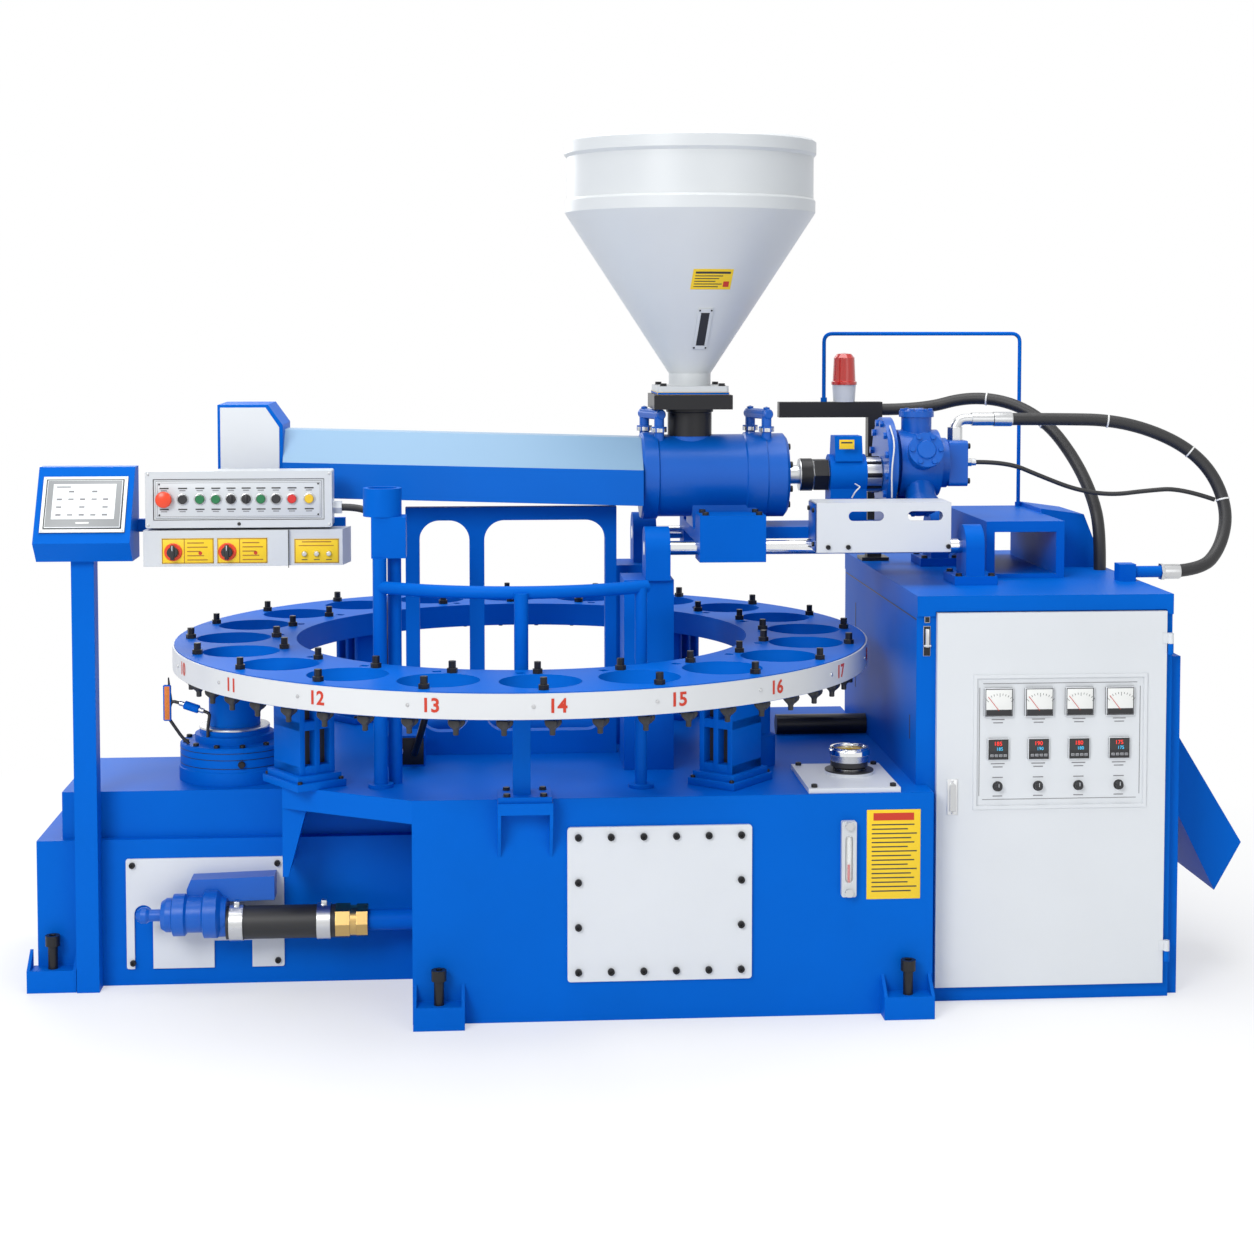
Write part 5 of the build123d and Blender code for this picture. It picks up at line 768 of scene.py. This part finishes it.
# Instrument panel: outline, and in each column a meter, a controller with its reading, and a knob
READINGS = ("185", "190", "180", "175")
METER_Z, CONTROLLER_Z, KNOB_Z = 745, 629, 537
panel_y = DOOR_FRONT + 3
dash = Shape(WHITE, GREY_INK, BLACK, PAPER, INK, RED_INK, DIGIT_RED, DIGIT_BLUE)
dash.box((1090, panel_y - 0.8, 482), (1520, panel_y, 812), 0)
for x0, x1, z0, z1 in ((1112, 1496, 790, 791.6), (1112, 1496, 504, 505.6), (1103, 1104.6, 514, 781),
                       (1503, 1504.6, 514, 781)):
    dash.box((x0, panel_y - 1.2, z0), (x1, panel_y - 0.7, z1), 1)
for column, reading in enumerate(READINGS):
    x = 1150 + column * 100.7
    z = METER_Z
    front = panel_y - 9
    dash.box((x - 36, front, z - 36), (x + 36, panel_y, z + 36), 2, 2.0)
    dash.box((x - 32, front - 0.5, z - 32), (x + 32, front + 0.5, z + 32), 3, 0.4)
    dash.box((x - 32, front - 1.0, z - 32), (x + 32, front - 0.3, z - 17), 2, 0.3)
    for tick in range(11):
        angle = radians(135 - tick * 9)
        reach = 44 if tick % 5 else 40
        place = placed((x + 2 + 49 * cos(angle), front - 0.5, z - 26 + 49 * sin(angle)), FRONT,
                       (cos(angle), 0, sin(angle)))
        dash.box((reach - 49, -0.5, 0), (0, 0.5, 0.4), 4, 0, place)
    needle = placed((x, front - 0.7, z - 20), FRONT, (cos(radians(128)), 0, sin(radians(128))))
    dash.box((0, -0.7, 0), (44, 0.7, 0.5), 5, 0, needle)
    z = CONTROLLER_Z
    front = panel_y - 7
    dash.box((x - 27, front, z - 27), (x + 27, panel_y, z + 27), 2, 2.0)
    dash.box((x - 23, front - 0.4, z - 4), (x + 23, front + 0.3, z + 22), 4)
    dash.text(reading, 10, plane_front(x - 1, front - 0.6, z + 14), 0.4, 6)
    dash.text(reading, 8, plane_front(x + 3, front - 0.6, z + 1), 0.4, 7)
    for key in range(4):
        dash.box((x - 20 + key * 11, front - 1.0, z - 18), (x - 12 + key * 11, front, z - 12), 1, 0.4)
    z = KNOB_Z
    dash.lathe([(0, 0), (12.6, 0), (12.6, 2), (9.5, 3), (9.5, 14), (8.4, 16), (0, 16)],
               (x, panel_y, z), FRONT, 2, 26)
    dash.box((x - 0.7, panel_y - 16.6, z), (x + 0.7, panel_y - 15.8, z + 9), 0)
    for row_z, half in ((702, 16), (694, 12), (593, 17), (585, 12), (559, 13), (513, 12)):
        dash.box((x - half, panel_y - 1.2, row_z - 1.2), (x + half, panel_y - 0.7, row_z + 1.2), 1)
dash.done("panel_instruments", "cabinet_door")
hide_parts("instrument_panel")

# Hopper: print, sight window, flange bolts, gate plate and sleeve
CONE_SLOPE = radians(33.14)
CONE_FOOT = 1539


def on_cone(azimuth, height):
    """Takes a flat drawing to the hopper's cone, at an azimuth from the front and a height."""
    def spot(point):
        reach = 55 + 0.653 * (height - CONE_FOOT) + point[1] * sin(CONE_SLOPE)
        angle = radians(azimuth) + point[0] / reach
        out = reach + point[2] * cos(CONE_SLOPE)
        up = height + point[1] * cos(CONE_SLOPE) - point[2] * sin(CONE_SLOPE)
        return Vector((HOPPER_X + out * sin(angle), UNIT_Y - out * cos(angle), up))
    return spot


hopper = Shape(LABEL, INK, RED_INK, GREY, BLACK, OXIDE, BLUE)
label = on_cone(9.8, 1781)
hopper.slab((-53, -30), (53, 30), 1.0, label, 0)
hopper.slab((-46, 17), (46, 23), 1.4, label, 1)
for row in range(5):
    hopper.slab((-46, 9 - row * 8), (26 - 9 * (row % 3), 11.5 - row * 8), 1.4, label, 1)
hopper.slab((30, -22), (46, -6), 1.4, label, 2)
window = on_cone(8.6, 1656)
hopper.slab((-19, -62), (19, 62), 3.0, window, 3)
hopper.slab((-11, -50), (11, 50), 3.4, window, 4)
for side in (-1, 1):
    for end in (-1, 1):
        hopper.slab((side * 15 - 2, end * 57 - 2), (side * 15 + 2, end * 57 + 2), 4.4, window, 5)
for side in (-1, 1):
    for end in (-1, 1):
        hopper.bolt((HOPPER_X + side * 76, UNIT_Y + end * 76, 1507), UP, 9, 5)
hopper.box((HOPPER_X - 94, UNIT_Y - 94, 1484.3), (HOPPER_X + 94, UNIT_Y + 94, 1491.7), 6, 1.0)
hopper.lathe([(56.2, 1375), (58, 1375), (58, 1436), (62, 1438), (62, 1446.6), (56.2, 1446.6)],
             (HOPPER_X, UNIT_Y, 0), UP, 5, 40)
hopper.done("hopper_trim", "injection_unit")

# Motor and housing fasteners, the water bridges, and the side plate of the cover box
fast = Shape(OXIDE, CAST, LABEL, INK, STEEL)
for lobe in range(5):
    angle = 2 * pi * lobe / 5
    out = Vector((0, sin(angle), cos(angle)))
    centre = Vector((MOTOR_X, UNIT_Y, MOTOR_Z)) + out * 138
    across = out.cross(Vector(RIGHT))
    fast.lathe([(0, 0), (26, 0), (23, 5), (0, 7)], centre, out, 1, 28)
    for k in range(6):
        turn = k * pi / 3
        spot = centre + Vector(RIGHT) * 37 * cos(turn) + across * 37 * sin(turn)
        fast.hexagon(spot, out, 12, 6, 1)
for k in range(12):
    turn = radians(15 + 30 * k)
    fast.hexagon((948, UNIT_Y + 108 * cos(turn), MOTOR_Z + 108 * sin(turn)), LEFT, 17, 8, 1)
for k in range(8):
    turn = radians(22.5 + 45 * k)
    fast.cap_screw((694, UNIT_Y + 82 * cos(turn), UNIT_Z + 82 * sin(turn)), RIGHT, 10, 0)
for k in (-1, 1):
    for j in (-1, 1):
        fast.cap_screw((1172, UNIT_Y + 40 * k, MOTOR_Z + 46 * j), RIGHT, 9, 0)
fast.box((826, -93.4, 1341), (866, -92.4, 1366), 2, 0.3)
fast.box((831, -93.8, 1356), (861, -93.3, 1360), 3)
for x in (340, 622):
    ends = [Vector((x - side * 16, UNIT_Y + side * 42, 1432)) for side in (-1, 1)]
    reach = (ends[1] - ends[0]).normalized() * 15
    fast.rod(ends[0] - reach, ends[1] + reach, 13.6, 1, 20, 3)
    for end in ends:
        fast.lathe([(13.4, 1386), (19, 1386), (19, 1396), (13.4, 1398)], (end.x, end.y, 0), UP, 4, 24)
        fast.lathe([(0, 1444), (8, 1444), (9, 1449), (0, 1452)], (end.x, end.y, 0), UP, 1, 20)
for x in (456, 592):
    for rod_y in ROD_YS:
        for side in (-1, 1):
            fast.cap_screw((x, rod_y + side * 38, 1186), UP, 10, 0)
fast.box((731, -297, 1095), (734, -185, 1215), 1, 1.0)
for z in (1112, 1198):
    for y in (-276, -206):
        fast.cap_screw((731, y, z), LEFT, 7, 0)
fast.done("unit_fasteners", "injection_unit")

# Sleeves of the split coupling, between the housing and the motor
sleeves = Shape(OXIDE)
sleeves.hexagon((767, UNIT_Y, UNIT_Z), RIGHT, 79, 38, 0)
sleeves.lathe([(25.2, 0), (47.2, 0), (48, 1), (48, 38), (47, 39.5), (25.2, 39.5)],
              (906, UNIT_Y, UNIT_Z), RIGHT, 0, 8)
sleeves.lathe([(25.2, 0), (40, 0), (43, 3), (43, 33), (25.2, 33)], (730.5, UNIT_Y, UNIT_Z), RIGHT, 0, 36)
sleeves.done("coupling_sleeves", "screw")


def cord_spot(name, share):
    """Point and direction at a share of a cord's spline."""
    bare = bpy.data.objects[name + "_run"].data.copy()
    bare.bevel_depth = 0
    holder = bpy.data.objects.new("bare", bare)
    line = bpy.data.meshes.new_from_object(holder)
    spots = [vert.co / MM for vert in line.vertices]
    bpy.data.objects.remove(holder)
    bpy.data.curves.remove(bare)
    bpy.data.meshes.remove(line)
    index = min(len(spots) - 2, int(share * (len(spots) - 1)))
    return spots[index], (spots[index + 1] - spots[index]).normalized()


# Hose ferrules, the clamps of the pump's sleeve, and the ties
trim = Shape(STEEL, TIE)
trim.lathe([(17, 0), (19.5, 0), (19.5, 46), (18.4, 50), (17, 50)], (1251, UNIT_Y, ELBOW_Z), RIGHT, 0, 28)
trim.lathe([(17, 0), (19.5, 0), (19.5, 40), (18.4, 44), (17, 44)], (1651, PORT_Y, PORT_Z), RIGHT, 0, 28)
trim.hexagon((1644, PORT_Y, PORT_Z), RIGHT, 40, 8, 0)
for x in (-737, -521):
    trim.lathe([(41.4, 0), (45, 0), (45, 34), (41.4, 34)], (x, -300, 178), RIGHT, 0, 36)
    trim.box((x + 10, -308, 222), (x + 24, -292, 232), 0, 1.5)
for name, shares in (("pressure_hose", (0.2, 0.42, 0.62)), ("return_hose", (0.28, 0.5))):
    for share in shares:
        spot, along = cord_spot(name, share)
        trim.lathe([(16.6, -2.2), (18.2, -2.2), (18.2, 2.2), (16.6, 2.2)], spot, along, 1, 24)
trim.done("hose_trim", "machine_frame")

# Frame fasteners: pedestal, bracket, pump cover, rear frame and clamp screws, then the clamp's steel
# ring and its two dark grooves, the black sleeve of a deck pipe, and the face and hose of the valve block
frame_bolts = Shape(OXIDE, STEEL)
for rod_y in ROD_YS:
    for x in (1102, 1186):
        for side in (-1, 1):
            frame_bolts.bolt((x, rod_y + side * 52, 1028), UP, 9, 0)
for x in (-52, 35):
    for y in (-606, -534):
        frame_bolts.bolt((x, y, 553), UP, 9, 0)
for x, z in ((-988, 59), (-988, 308), (-626, 308), (-626, 59)):
    frame_bolts.cap_screw((x, -227, z), FRONT, 9, 0)
for x in (763, 814, 1070):
    frame_bolts.cap_screw((x, PANEL_FRONT, 1106), FRONT, 7, 0)
for k in range(12):
    turn = radians(15 + 30 * k)
    frame_bolts.cap_screw((CLAMP_X + 126 * cos(turn), UNIT_Y + 126 * sin(turn), 586), UP, 9, 0)
frame_bolts.lathe([(67, 620), (91, 620), (91, 624), (89, 626), (67, 626)], (CLAMP_X, UNIT_Y, 0), UP, 1, 48)
frame_bolts.rod((700, 175, 566), (949, 175, 566), 27.5, 0, 32)
for z in (534, 556, 573):
    frame_bolts.lathe([(139.9, z), (140.5, z), (140.5, z + 1.6), (139.9, z + 1.6)],
                      (CLAMP_X, UNIT_Y, 0), UP, 0, 64)
frame_bolts.bolt((-720, UNIT_Y - 139, 546), (0.2, -1, 0), 9, 0)
frame_bolts.box((-345, -187.6, 545), (-257, -186, 614), 0, 1.0)
frame_bolts.lathe([(0, 0), (13, 0), (13, 6), (8, 8), (0, 8)], (-322, -187.6, 580), FRONT, 1, 20)
frame_bolts.pipe([(-280, -188, 578), (-280, -214, 578), (-262, -250, 640), (-240, -262, 720),
                  (-236, -230, 760)], 9, 0, 14, 30)
frame_bolts.done("frame_bolts", "machine_frame")

# Guard tube over the beam, the seams and slots of the cabinet's side, the air filter of the clamp
guard = Shape(BLUE, INK, STEEL, ORANGE, RUBBER)
guard.pipe([(850, 300, 1451), (850, 300, 1640), (1405, 300, 1640), (1405, 300, 1156)], 5.4, 0, 12, 24)
guard.rod((850, 300, 1450), (850, 300, 1462), 9, 0)
guard.rod((1405, 300, 1154), (1405, 300, 1166), 9, 0)
guard.box((949.2, -488, 946), (950.4, 488, 949), 1)
guard.box((949.2, 330, 640), (950.4, 336, 880), 1)
guard.box((949.2, -420, 640), (950.4, -414, 700), 1)
guard.rod((-872, -92, 690), (-834, -98, 678), 11, 0, 24, 2)
guard.rod((-884, -90, 694), (-871, -92, 690.4), 6.5, 2, 20)
guard.rod((-835, -98, 678.3), (-822, -100, 674), 6.5, 2, 20)
guard.pipe([(-823, -100, 674.4), (-806, -102, 668), (-812, -100, 630), (-812, -98, 588)], 4.2, 4, 12, 14)
guard.pipe([(-883, -90, 693.6), (-905, -88, 700), (-916, -88, 660), (-880, -88, 606), (-862, -88, 588)],
           4.2, 4, 12, 30)
guard.box((-926, -95, 648), (-905, -86, 742), 3, 4.0)
guard.pipe([(-912, -90, 740), (-912, -90, 764), (-904, -88, 700)], 1.6, 4, 8, 8)
guard.done("guard_tube", "machine_frame")

# Two white wires from the cover box to the motor
wires = Shape(TIE)
wires.pipe([(955, -150, 1218), (952, -158, 1290), (962, -150, 1360), (958, -100, 1402)], 2.2, 0, 8, 40)
wires.pipe([(850, -150, 1218), (858, -158, 1236), (872, -150, 1246), (868, -96, 1250)], 2.0, 0, 8, 20)
wires.done("sensor_wires", "injection_unit")

# Toggle catch on the cabinet's front strip, and the door's lock plate
catch = Shape(STEEL, OXIDE)
catch.box((966, -494.5, 858), (984, -492, 932), 1, 1.0)
catch.box((970, -502, 880), (980, -494, 926), 0, 2.0)
catch.rod((966, -499, 884), (984, -499, 884), 3, 0)
catch.box((968, -497, 940), (982, -492, 956), 1, 1.5)
catch.done("toggle_catch", "machine_frame")
lock = Shape(BRUSHED, STEEL)
lock.box((1024.5, DOOR_FRONT - 3.4, 469), (1049.5, DOOR_FRONT - 2.6, 557), 0, 0.3)
for z in (474, 552):
    lock.lathe([(0, 0), (3, 0), (2.4, 1.6), (0, 2)], (1037, DOOR_FRONT - 3.4, z), FRONT, 1, 12)
lock.done("lock_plate", "cabinet_door")

# Back of the cabinet and of the bases: covers with their screws, and louvres
SHEET = 4
MARGIN = 16
rear = Shape(BLUE, OXIDE)


def cover(x0, x1, z0, z1, y):
    """Sheet cover on a back wall, with a screw near each corner and along its edges."""
    rear.box((x0, y, z0), (x1, y + SHEET, z1), 0, 1.5)
    for x in (x0 + MARGIN, (x0 + x1) / 2, x1 - MARGIN):
        for z in (z0 + MARGIN, z1 - MARGIN):
            rear.cap_screw((x, y + SHEET, z), BACK, 7, 1)
    for x in (x0 + MARGIN, x1 - MARGIN):
        rear.cap_screw((x, y + SHEET, (z0 + z1) / 2), BACK, 7, 1)


cover(1000, 1540, 80, 930, 504)
cover(-150, 260, 90, 430, 576)
cover(420, 840, 90, 430, 576)
cover(-1100, -700, 60, 330, 250)
LOUVRE_PITCH = 20
for row in range(9):
    z = 700 + row * LOUVRE_PITCH
    rear.prism([(0, 0), (12, 0), (12, -5), (5, -12)], (1130, 508, z), RIGHT, 280, 0, BACK)
    z = 560 + row * LOUVRE_PITCH
    rear.prism([(0, 0), (10, 0), (10, -5), (4, -11)], (1617, 120, z), BACK, 150, 0, RIGHT)
rear.done("rear_covers", "machine_frame")

# Control gear on the mounting plate
GEAR_FRONT = -18.8
gear = Shape(GREY, BLACK, WHITE, STEEL)
for row, z in enumerate((330, 560, 770)):
    for column in range(5):
        x = 1283.5 - 172 + column * 86
        shade = (column + row) % 2
        gear.box((x - 31.5, GEAR_FRONT, z - 48.5), (x + 31.5, 60.5, z + 48.5), shade, 2.0)
        gear.box((x - 22, -24, z - 14), (x + 22, -17, z + 14), 1 - shade, 1.5)
        for k in (-1, 0, 1):
            for side in (-1, 1):
                gear.lathe([(0, 0), (4.4, 0), (4.4, 1), (0, 1)], (x + 18 * k, GEAR_FRONT, z + side * 38),
                           FRONT, 3, 12)
    gear.box((1012, 54, z - 66), (1555, 60, z - 60), 2, 1.0)
gear.done("control_gear", "machine_frame")
